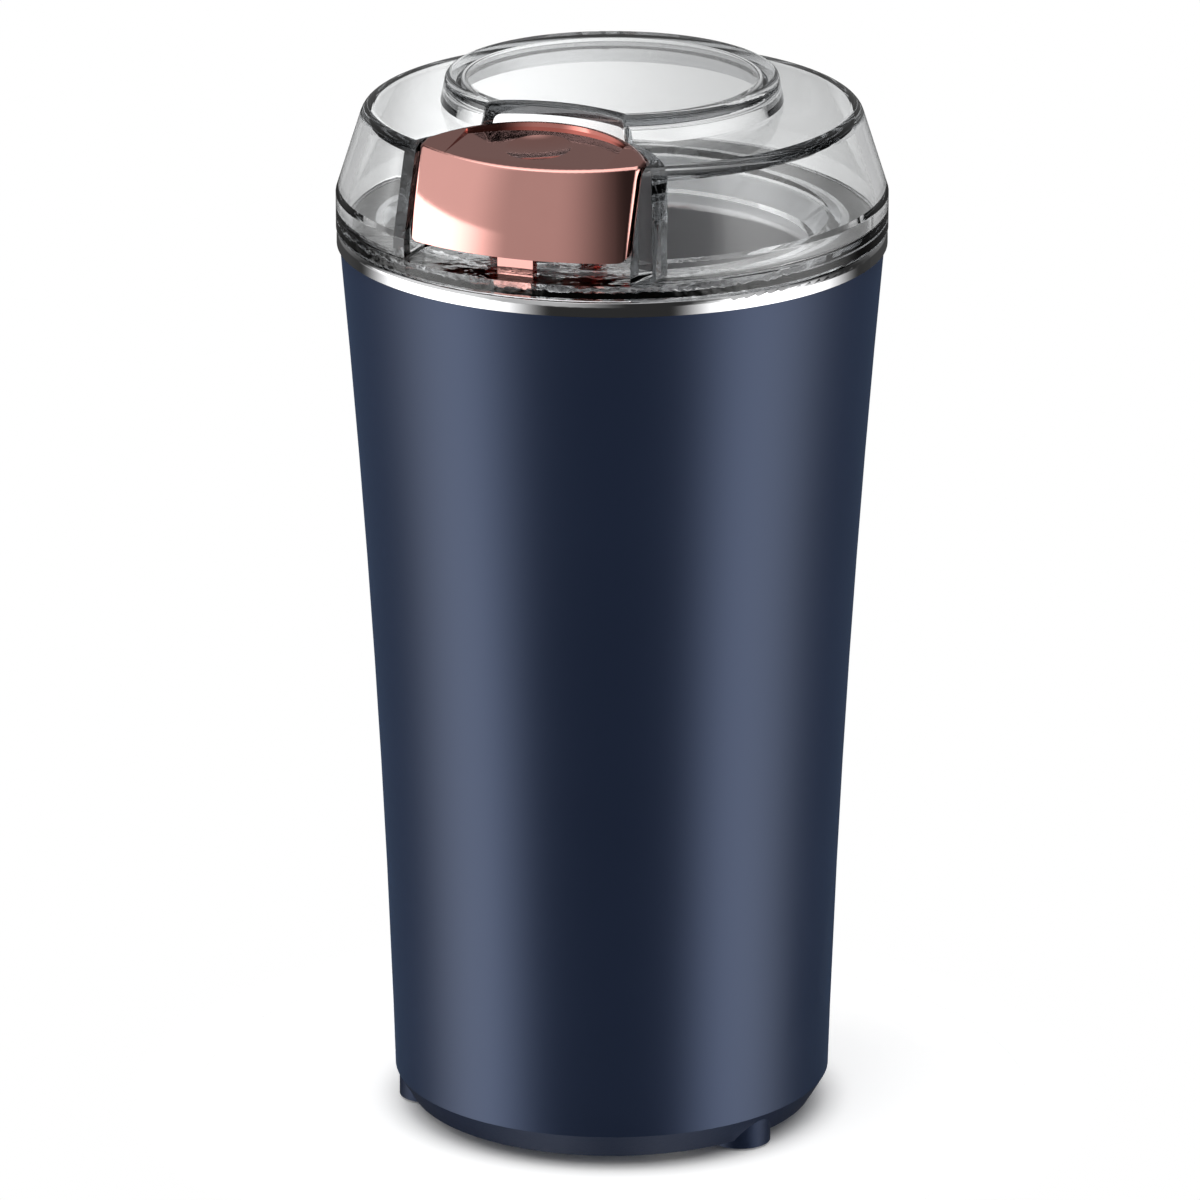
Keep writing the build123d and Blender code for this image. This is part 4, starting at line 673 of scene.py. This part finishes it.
class Growth:
    """Writes one Geometry Nodes tree."""

    def __init__(self, name):
        self.tree = bpy.data.node_groups.new(name, "GeometryNodeTree")

    def inputs(self, *sockets):
        """Adds the tree's named inputs, each a name and a socket type, and returns their sockets."""
        for name, kind in sockets:
            self.tree.interface.new_socket(name, in_out="INPUT", socket_type=kind)
        group = self.tree.nodes.new("NodeGroupInput")
        return {name: group.outputs[name] for name, kind in sockets}

    def node(self, kind, settings=None, sockets=None, out=0):
        """Adds a node, with its settings first and then its sockets, and returns one of its outputs."""
        made = self.tree.nodes.new(kind)
        for key, value in (settings or {}).items():
            setattr(made, key, value)
        for key, value in (sockets or {}).items():
            if isinstance(value, bpy.types.NodeSocket):
                self.tree.links.new(value, made.inputs[key])
            else:
                made.inputs[key].default_value = value
        return made.outputs[out]

    def maths(self, operation, first, second=0.0):
        """One step of arithmetic."""
        return self.node("ShaderNodeMath", {"operation": operation}, {0: first, 1: second})

    def ramp(self, value, low, high, start=0.0, end=1.0):
        """A straight run of a number between two limits, level outside them."""
        sockets = {"Value": value, 1: low, 2: high, 3: start, 4: end}
        return self.node("ShaderNodeMapRange", sockets=sockets)

    def total(self, *values):
        """The sum of some numbers."""
        result = values[0]
        for value in values[1:]:
            result = self.maths("ADD", result, value)
        return result

    def turned(self, steps, sides, outline):
        """A closed turned body, from a rule that gives radius and height along the outline and around it."""
        size = {"Size X": 1.0, "Size Y": 1.0, "Vertices X": steps, "Vertices Y": sides + 1}
        grid = self.node("GeometryNodeMeshGrid", sockets=size)
        place = self.node("GeometryNodeInputPosition")
        split = self.node("ShaderNodeSeparateXYZ", sockets={0: place}).node
        along = self.maths("ADD", split.outputs["X"], 0.5)
        around = self.maths("MULTIPLY", self.maths("ADD", split.outputs["Y"], 0.5), math.tau)
        radius, height = outline(along, around)
        x = self.maths("MULTIPLY", radius, self.maths("COSINE", around))
        y = self.maths("MULTIPLY", radius, self.maths("SINE", around))
        point = self.node("ShaderNodeCombineXYZ", sockets={0: x, 1: y, 2: height})
        shaped = self.node("GeometryNodeSetPosition", sockets={"Geometry": grid, "Position": point})
        joined = self.node(
            "GeometryNodeMergeByDistance", sockets={"Geometry": shaped, "Distance": WELD_REACH}
        )
        smooth = self.node("GeometryNodeSetShadeSmooth", sockets={"Geometry": joined})
        bend = self.node("GeometryNodeInputMeshEdgeAngle")
        sharp = self.node("FunctionNodeCompare", {"operation": "GREATER_THAN"}, {0: bend, 1: SHARP_BEND})
        return self.node(
            "GeometryNodeSetShadeSmooth",
            {"domain": "EDGE"},
            {"Geometry": smooth, "Selection": sharp, "Shade Smooth": False},
        )

    def close(self, geometry, material):
        """Realizes the geometry, sets its material and ends the tree."""
        solid = self.node("GeometryNodeRealizeInstances", sockets={0: geometry})
        painted = self.node(
            "GeometryNodeSetMaterial", sockets={"Geometry": solid, "Material": material}
        )
        self.tree.interface.new_socket("Geometry", in_out="OUTPUT", socket_type=GEOMETRY)
        self.tree.links.new(painted, self.tree.nodes.new("NodeGroupOutput").inputs[0])
        return self.tree


def spring_tree():
    """One wire wound up in even turns from a foot to a height."""
    growth = Growth("wound_spring")
    given = growth.inputs(
        ("Turns", FLOAT),
        ("Radius", FLOAT),
        ("Height", FLOAT),
        ("Wire", FLOAT),
        ("Foot", VECTOR),
        ("Finish", MATERIAL),
    )
    line = growth.node(
        "GeometryNodeCurveSpiral",
        sockets={
            "Resolution": 40,
            "Rotations": given["Turns"],
            "Start Radius": given["Radius"],
            "End Radius": given["Radius"],
            "Height": given["Height"],
        },
    )
    section = growth.node(
        "GeometryNodeCurvePrimitiveCircle", sockets={"Resolution": 14, "Radius": given["Wire"]}
    )
    tube = growth.node(
        "GeometryNodeCurveToMesh", sockets={"Curve": line, "Profile Curve": section, "Fill Caps": True}
    )
    stood = growth.node("GeometryNodeTransform", sockets={"Geometry": tube, "Translation": given["Foot"]})
    smooth = growth.node("GeometryNodeSetShadeSmooth", sockets={"Geometry": stood})
    return growth.close(smooth, given["Finish"])


def screw_tree():
    """Threaded pan head screws with a crossed recess, one at each place."""
    growth = Growth("threaded_screws")
    given = growth.inputs(
        ("Places", GEOMETRY),
        ("Turn", VECTOR),
        ("Head radius", FLOAT),
        ("Head height", FLOAT),
        ("Shank radius", FLOAT),
        ("Length", FLOAT),
        ("Pitch", FLOAT),
        ("Finish", MATERIAL),
    )
    head, depth = given["Head radius"], given["Head height"]
    shank, length = given["Shank radius"], given["Length"]

    def recess(radius, around):
        """Depth of the crossed recess, as a share, at a point of the head."""
        reach = [
            growth.maths("ABSOLUTE", growth.maths("MULTIPLY", radius, growth.maths(way, around)))
            for way in ("COSINE", "SINE")
        ]
        shares = [growth.maths("DIVIDE", each, head) for each in reach]
        wide = [growth.ramp(share, *RECESS_WIDTH, 1.0, 0.0) for share in shares]
        long = [growth.ramp(share, *RECESS_LENGTH, 1.0, 0.0) for share in shares]
        arms = [growth.maths("MULTIPLY", wide[0], long[1]), growth.maths("MULTIPLY", wide[1], long[0])]
        return growth.maths("MAXIMUM", *arms)

    def outline(along, around):
        """Radius and height: the crowned head with its recess, the step to the shank, the thread, the tip."""
        dome = growth.ramp(along, 0.0, SCREW_TOP)
        out = growth.maths("MULTIPLY", head, dome)
        inward = growth.maths("SUBTRACT", shank, head)
        step = growth.maths("MULTIPLY", inward, growth.ramp(along, SCREW_SIDE, SCREW_NECK))
        tip = growth.maths("MULTIPLY", shank, growth.ramp(along, *TIP_IN, 0.0, -1.0))
        crown = growth.maths("MULTIPLY", growth.maths("POWER", dome, CROWN_POWER), -CROWN_DROP)
        side = growth.ramp(along, SCREW_TOP, SCREW_SIDE, 0.0, -SIDE_DROP)
        sunk = growth.ramp(along, RECESS_WALL, SCREW_TOP, -RECESS_DROP, 0.0)
        fall = growth.total(crown, side, growth.maths("MULTIPLY", recess(out, around), sunk))
        run = growth.maths("MULTIPLY", length, growth.ramp(along, SCREW_NECK, SCREW_END, 0.0, -1.0))
        height = growth.maths("ADD", growth.maths("MULTIPLY", depth, fall), run)
        rise = growth.maths("DIVIDE", run, given["Pitch"])
        turns = growth.maths("SUBTRACT", rise, growth.maths("DIVIDE", around, math.tau))
        ridge = growth.maths("ABSOLUTE", growth.maths("SUBTRACT", growth.maths("FRACT", turns), 0.5))
        start, end = growth.ramp(along, *THREAD_IN), growth.ramp(along, *THREAD_OUT, 1.0, 0.0)
        cut = growth.maths("MULTIPLY", ridge, growth.maths("MULTIPLY", start, end))
        thread = growth.maths("MULTIPLY", cut, growth.maths("MULTIPLY", shank, -THREAD_DEPTH))
        return growth.total(out, step, tip, thread), height

    body = growth.turned(steps=160, sides=48, outline=outline)
    stood = growth.node(
        "GeometryNodeInstanceOnPoints",
        sockets={"Points": given["Places"], "Instance": body, "Rotation": given["Turn"]},
    )
    return growth.close(stood, given["Finish"])


def pad_tree():
    """Round rubber pads with a bevelled edge and grip rings underneath, one at each place."""
    growth = Growth("ringed_pads")
    given = growth.inputs(
        ("Places", GEOMETRY), ("Radius", FLOAT), ("Height", FLOAT), ("Rings", FLOAT), ("Finish", MATERIAL)
    )

    def outline(along, around):
        """Radius and height: the flat top, the side, the bevel and the rings underneath."""
        out = growth.ramp(along, 0.0, PAD_TOP)
        back = growth.ramp(along, PAD_SIDE, 1.0, 0.0, -1.0)
        radius = growth.maths("MULTIPLY", given["Radius"], growth.maths("ADD", out, back))
        under = growth.ramp(along, PAD_BEVEL, 1.0, 0.0, math.tau)
        wave = growth.maths("COSINE", growth.maths("MULTIPLY", under, given["Rings"]))
        groove = growth.maths("MULTIPLY", growth.maths("SUBTRACT", 1.0, wave), GROOVE_RISE)
        side = growth.ramp(along, PAD_TOP, PAD_SIDE, 1.0, BEVEL_RISE)
        bevel = growth.ramp(along, PAD_SIDE, PAD_BEVEL, 0.0, -BEVEL_RISE)
        return radius, growth.maths("MULTIPLY", given["Height"], growth.total(side, bevel, groove))

    body = growth.turned(steps=120, sides=56, outline=outline)
    stood = growth.node(
        "GeometryNodeInstanceOnPoints", sockets={"Points": given["Places"], "Instance": body}
    )
    return growth.close(stood, given["Finish"])


def four_corners(low, high, reach):
    """The middles of four like round pieces in the corners of a box, at its floor and at its top."""
    spots = [
        (x, y)
        for x in (low.x + reach, high.x - reach)
        for y in (low.y + reach, high.y - reach)
    ]
    return [(x, y, low.z) for x, y in spots], [(x, y, high.z) for x, y in spots]


class GRINDER_OT_housing(bpy.types.Operator):
    """Lacquers the housing and gives the base its grained moulding"""

    bl_idname = "grinder.housing"
    bl_label = "Housing and base"

    def execute(self, context):
        colours = context.scene.grinder_colours
        dress(lacquer("navy_lacquer", colours.navy, colours.sheen, rough=0.27), "housing")
        base = moulding(
            "navy_base", colours.navy, rough=0.34, grain=1800.0, gloss=0.3, tint=colours.sheen
        )
        dress(base, "base_cover")
        dress(rubber("inlet_rubber", (0.022, 0.022, 0.025)), "cord_bush")
        return {"FINISHED"}


class GRINDER_OT_feet(bpy.types.Operator):
    """Sets ringed rubber pads in the three feet"""

    bl_idname = "grinder.feet"
    bl_label = "Foot pads"

    def execute(self, context):
        sizes = context.scene.grinder_sizes
        radius = sizes.pad_radius
        front = PADS_LOW.y + radius
        places = [
            (PADS_LOW.x + radius, front, PADS_LOW.z),
            (PADS_HIGH.x - radius, front, PADS_LOW.z),
            (0.0, PADS_HIGH.y - radius, PADS_LOW.z),
        ]
        pads = nodes_piece(
            "ringed_foot_pads",
            pad_tree(),
            {
                "Radius": radius,
                "Height": PADS_HIGH.z - PADS_LOW.z,
                "Rings": float(sizes.pad_rings),
                "Finish": rubber("pad_rubber", (0.03, 0.034, 0.045)),
            },
            places,
        )
        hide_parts("foot_pads")
        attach(pads, "body")
        return {"FINISHED"}


class GRINDER_OT_screws(bpy.types.Operator):
    """Sets threaded screws in the base, the motor's mounting and the switch"""

    bl_idname = "grinder.screws"
    bl_label = "Screws"

    def execute(self, context):
        sizes = context.scene.grinder_sizes
        tree = screw_tree()
        zinc = metal("screw_zinc", (0.60, 0.60, 0.60), rough=0.28, lines=1500.0)
        base_places = four_corners(*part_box("base_screws"), BASE_HEAD[0])[0]
        motor_places = four_corners(*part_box("motor_screws"), MOTOR_HEAD[0])[1]
        left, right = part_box("switch_screws")
        level = (left.z + right.z) / 2
        switch_places = [(x, left.y, level) for x in (left.x + SWITCH_HEAD[0], right.x - SWITCH_HEAD[0])]
        upward, downward, outward = (0.0, 0.0, 0.0), (math.pi, 0.0, 0.0), (math.pi / 2, 0.0, 0.0)
        base = (base_places, downward, BASE_HEAD, WIDE_SHANK, sizes.thread_pitch)
        motor = (motor_places, upward, MOTOR_HEAD, WIDE_SHANK, sizes.thread_pitch)
        switch = (switch_places, outward, SWITCH_HEAD, SMALL_SHANK, sizes.small_pitch)
        for name, node, (places, turn, head, shank, pitch) in (
            ("base_case_screws", "base_screws", base),
            ("motor_mount_screws", "motor_screws", motor),
            ("switch_plate_screws", "switch_screws", switch),
        ):
            low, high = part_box(node)
            long = high.y - low.y if turn == outward else high.z - low.z
            screws = nodes_piece(
                name,
                tree,
                {
                    "Turn": turn,
                    "Head radius": head[0],
                    "Head height": head[1],
                    "Shank radius": shank,
                    "Length": long - head[1],
                    "Pitch": pitch,
                    "Finish": zinc,
                },
                places,
            )
            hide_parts(node)
            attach(screws, "body")
        return {"FINISHED"}


class GRINDER_OT_bowl(bpy.types.Operator):
    """Polishes the bowl with its rim, and finishes the blade, hub, nut, seal and gasket"""

    bl_idname = "grinder.bowl"
    bl_label = "Bowl and blade"

    def execute(self, context):
        colours = context.scene.grinder_colours
        dress(bowl_steel("polished_bowl", colours.steel), "grinding_bowl")
        steel = metal(
            "brushed_blade", (0.66, 0.66, 0.67), rough=0.2, stretch=(1.0, 0.05, 1.0), lines=1800.0
        )
        dress(steel, "blade")
        hub = turned("turned_hub", (0.62, 0.62, 0.63), rough=0.2, rings=2400.0)
        dress(hub, "blade_hub", "blade_nut")
        dress(rubber("seal_rubber", (0.06, 0.06, 0.065)), "shaft_seal", "bowl_gasket")
        dress(metal("nut_zinc", (0.58, 0.58, 0.57), rough=0.3, lines=1600.0), "bowl_nuts")
        return {"FINISHED"}


class GRINDER_OT_lid(bpy.types.Operator):
    """Makes the lid clear and the push button rose gold"""

    bl_idname = "grinder.lid"
    bl_label = "Lid and button"

    def execute(self, context):
        colours = context.scene.grinder_colours
        dress(clear_moulding("clear_lid", colours.clear), "lid_shell")
        dress(rose_gold("rose_gold_film", colours.gold), "push_button")
        return {"FINISHED"}


class GRINDER_OT_spring(bpy.types.Operator):
    """Winds the button spring in the place of its solid"""

    bl_idname = "grinder.spring"
    bl_label = "Button spring"

    def execute(self, context):
        sizes = context.scene.grinder_sizes
        middle = (SPRING_LOW + SPRING_HIGH) / 2
        tall = SPRING_HIGH.z - SPRING_LOW.z
        wire = sizes.spring_wire / 2
        radius = (SPRING_HIGH.x - SPRING_LOW.x) / 2 - wire
        drawn_wire = metal("spring_wire", (0.56, 0.56, 0.57), rough=0.22, lines=2600.0)
        spring = nodes_piece(
            "wound_button_spring",
            spring_tree(),
            {
                "Turns": float(sizes.spring_turns),
                "Radius": radius,
                "Height": tall - 2 * wire,
                "Wire": wire,
                "Foot": (middle.x, middle.y, SPRING_LOW.z + wire),
                "Finish": drawn_wire,
            },
        )
        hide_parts("button_spring")
        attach(spring, "lid")
        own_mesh(spring)
        return {"FINISHED"}


class GRINDER_OT_motor(bpy.types.Operator):
    """Finishes the frame and the motor inside the housing"""

    bl_idname = "grinder.motor"
    bl_label = "Frame and motor"

    def execute(self, context):
        dress(moulding("frame_moulding", (0.26, 0.27, 0.29), rough=0.5, grain=1500.0), "inner_frame")
        dress(rubber("damper_rubber", (0.05, 0.05, 0.055)), "motor_dampers")
        dress(metal("motor_zinc", (0.6, 0.6, 0.59), rough=0.28, lines=1500.0), "motor_bolts")
        cast = metal("cast_bracket", (0.62, 0.63, 0.65), rough=0.42, lines=700.0, depth=0.00008)
        dress(cast, "upper_bracket", "lower_bracket")
        bronze = metal("sintered_bronze", (0.55, 0.40, 0.22), rough=0.38, lines=2600.0)
        dress(bronze, "upper_bearing", "lower_bearing")
        dress(sheets("core_sheets", (0.22, 0.23, 0.26)), "stator_core", "armature_core")
        dress(winding("copper_winding", (0.72, 0.30, 0.14)), "field_coils", "armature_winding")
        dress(turned("ground_shaft", (0.66, 0.66, 0.67), rough=0.14, rings=3000.0), "motor_shaft")
        dress(turned("commutator_copper", (0.72, 0.42, 0.24), rough=0.24, rings=2400.0), "commutator")
        brass = metal(
            "brass_sheet", (0.74, 0.54, 0.24), rough=0.26, stretch=(1.0, 0.08, 1.0), lines=1200.0
        )
        dress(brass, "brush_holders", "switch_tabs")
        dress(moulding("pressed_carbon", (0.03, 0.03, 0.032), rough=0.55, grain=2400.0), "carbon_brushes")
        leaf = metal("leaf_steel", (0.56, 0.57, 0.6), rough=0.24, stretch=(0.1, 1.0, 1.0), lines=1500.0)
        dress(leaf, "brush_springs")
        return {"FINISHED"}


class GRINDER_OT_switch(bpy.types.Operator):
    """Finishes the switch, its rod, lever and plunger and the leads to the motor"""

    bl_idname = "grinder.switch"
    bl_label = "Switch and leads"

    def execute(self, context):
        dress(moulding("rod_moulding", (0.72, 0.71, 0.67), rough=0.4, grain=1300.0), "switch_rod")
        dress(moulding("switch_moulding", (0.03, 0.03, 0.033), rough=0.38, grain=1600.0), "switch_body")
        dress(moulding("plunger_moulding", (0.5, 0.06, 0.05), rough=0.3, grain=1600.0), "switch_plunger")
        lever = metal("lever_steel", (0.6, 0.6, 0.62), rough=0.22, stretch=(0.06, 1.0, 1.0), lines=1500.0)
        dress(lever, "switch_lever")
        dress(rubber("lead_jacket", (0.05, 0.11, 0.34)), "motor_leads")
        return {"FINISHED"}


class GRINDER_OT_studio(bpy.types.Operator):
    """Sets up the floor, the light and the camera"""

    bl_idname = "grinder.studio"
    bl_label = "Studio"

    def execute(self, context):
        scene = context.scene
        settings = scene.grinder_studio
        turn = settings.turn
        scene.view_settings.view_transform = "Standard"
        scene.cycles.max_bounces = LIGHT_BOUNCES
        scene.cycles.glossy_bounces = LIGHT_BOUNCES
        scene.cycles.transmission_bounces = LIGHT_BOUNCES
        studio_world(turn)
        ways = [math.tau * step / FLOOR_SIDES for step in range(FLOOR_SIDES)]
        rim = [(FLOOR_RADIUS * math.cos(way), FLOOR_RADIUS * math.sin(way), 0.0) for way in ways]
        stage_piece("floor", rim, floor_finish("pale_floor"))
        side, back = (math.cos(turn), math.sin(turn)), (-math.sin(turn), math.cos(turn))
        corners = [
            (*(side[axis] * across + back[axis] * BACKDROP_BEHIND for axis in (0, 1)), level)
            for across, level in (
                (-BACKDROP_HALF, BACKDROP_LOW),
                (BACKDROP_HALF, BACKDROP_LOW),
                (BACKDROP_HALF, BACKDROP_HIGH),
                (-BACKDROP_HALF, BACKDROP_HIGH),
            )
        ]
        stage_piece("backdrop", corners, backdrop_finish("graded_backdrop", turn))
        camera = bpy.data.cameras.new("camera")
        camera.sensor_width = SENSOR_WIDTH
        camera.sensor_fit = "HORIZONTAL"
        camera.lens = settings.lens
        camera.clip_start = CLIP_START
        camera.clip_end = CLIP_END
        stand = bpy.data.objects.new("camera", camera)
        scene.collection.objects.link(stand)
        stand.location = (
            settings.distance * math.sin(turn),
            -settings.distance * math.cos(turn),
            settings.height,
        )
        stand.rotation_euler = (math.pi / 2 - settings.pitch, 0.0, turn + settings.pan)
        scene.camera = stand
        return {"FINISHED"}


OPERATORS = (
    GRINDER_OT_housing,
    GRINDER_OT_feet,
    GRINDER_OT_screws,
    GRINDER_OT_bowl,
    GRINDER_OT_lid,
    GRINDER_OT_spring,
    GRINDER_OT_motor,
    GRINDER_OT_switch,
    GRINDER_OT_studio,
)


class GRINDER_PT_finishes(bpy.types.Panel):
    """Lists the grinder's settings and the steps that dress it"""

    bl_idname = "GRINDER_PT_finishes"
    bl_label = "Coffee Grinder"
    bl_space_type = "VIEW_3D"
    bl_region_type = "UI"
    bl_category = "Grinder"

    def draw(self, context):
        for settings in (
            context.scene.grinder_colours,
            context.scene.grinder_sizes,
            context.scene.grinder_studio,
        ):
            for name in settings.__annotations__:
                self.layout.prop(settings, name)
        for operator in OPERATORS:
            self.layout.operator(operator.bl_idname)


CLASSES = (GrinderColours, GrinderSizes, StudioSettings, *OPERATORS, GRINDER_PT_finishes)


def register():
    for each in CLASSES:
        bpy.utils.register_class(each)
    bpy.types.Scene.grinder_colours = PointerProperty(type=GrinderColours)
    bpy.types.Scene.grinder_sizes = PointerProperty(type=GrinderSizes)
    bpy.types.Scene.grinder_studio = PointerProperty(type=StudioSettings)


def unregister():
    del bpy.types.Scene.grinder_colours
    del bpy.types.Scene.grinder_sizes
    del bpy.types.Scene.grinder_studio
    for each in reversed(CLASSES):
        bpy.utils.unregister_class(each)


def main():
    register()
    bpy.ops.grinder.housing()
    bpy.ops.grinder.feet()
    bpy.ops.grinder.screws()
    bpy.ops.grinder.bowl()
    bpy.ops.grinder.lid()
    bpy.ops.grinder.spring()
    bpy.ops.grinder.motor()
    bpy.ops.grinder.switch()
    bpy.ops.grinder.studio()


if __name__ == "__main__":
    main()
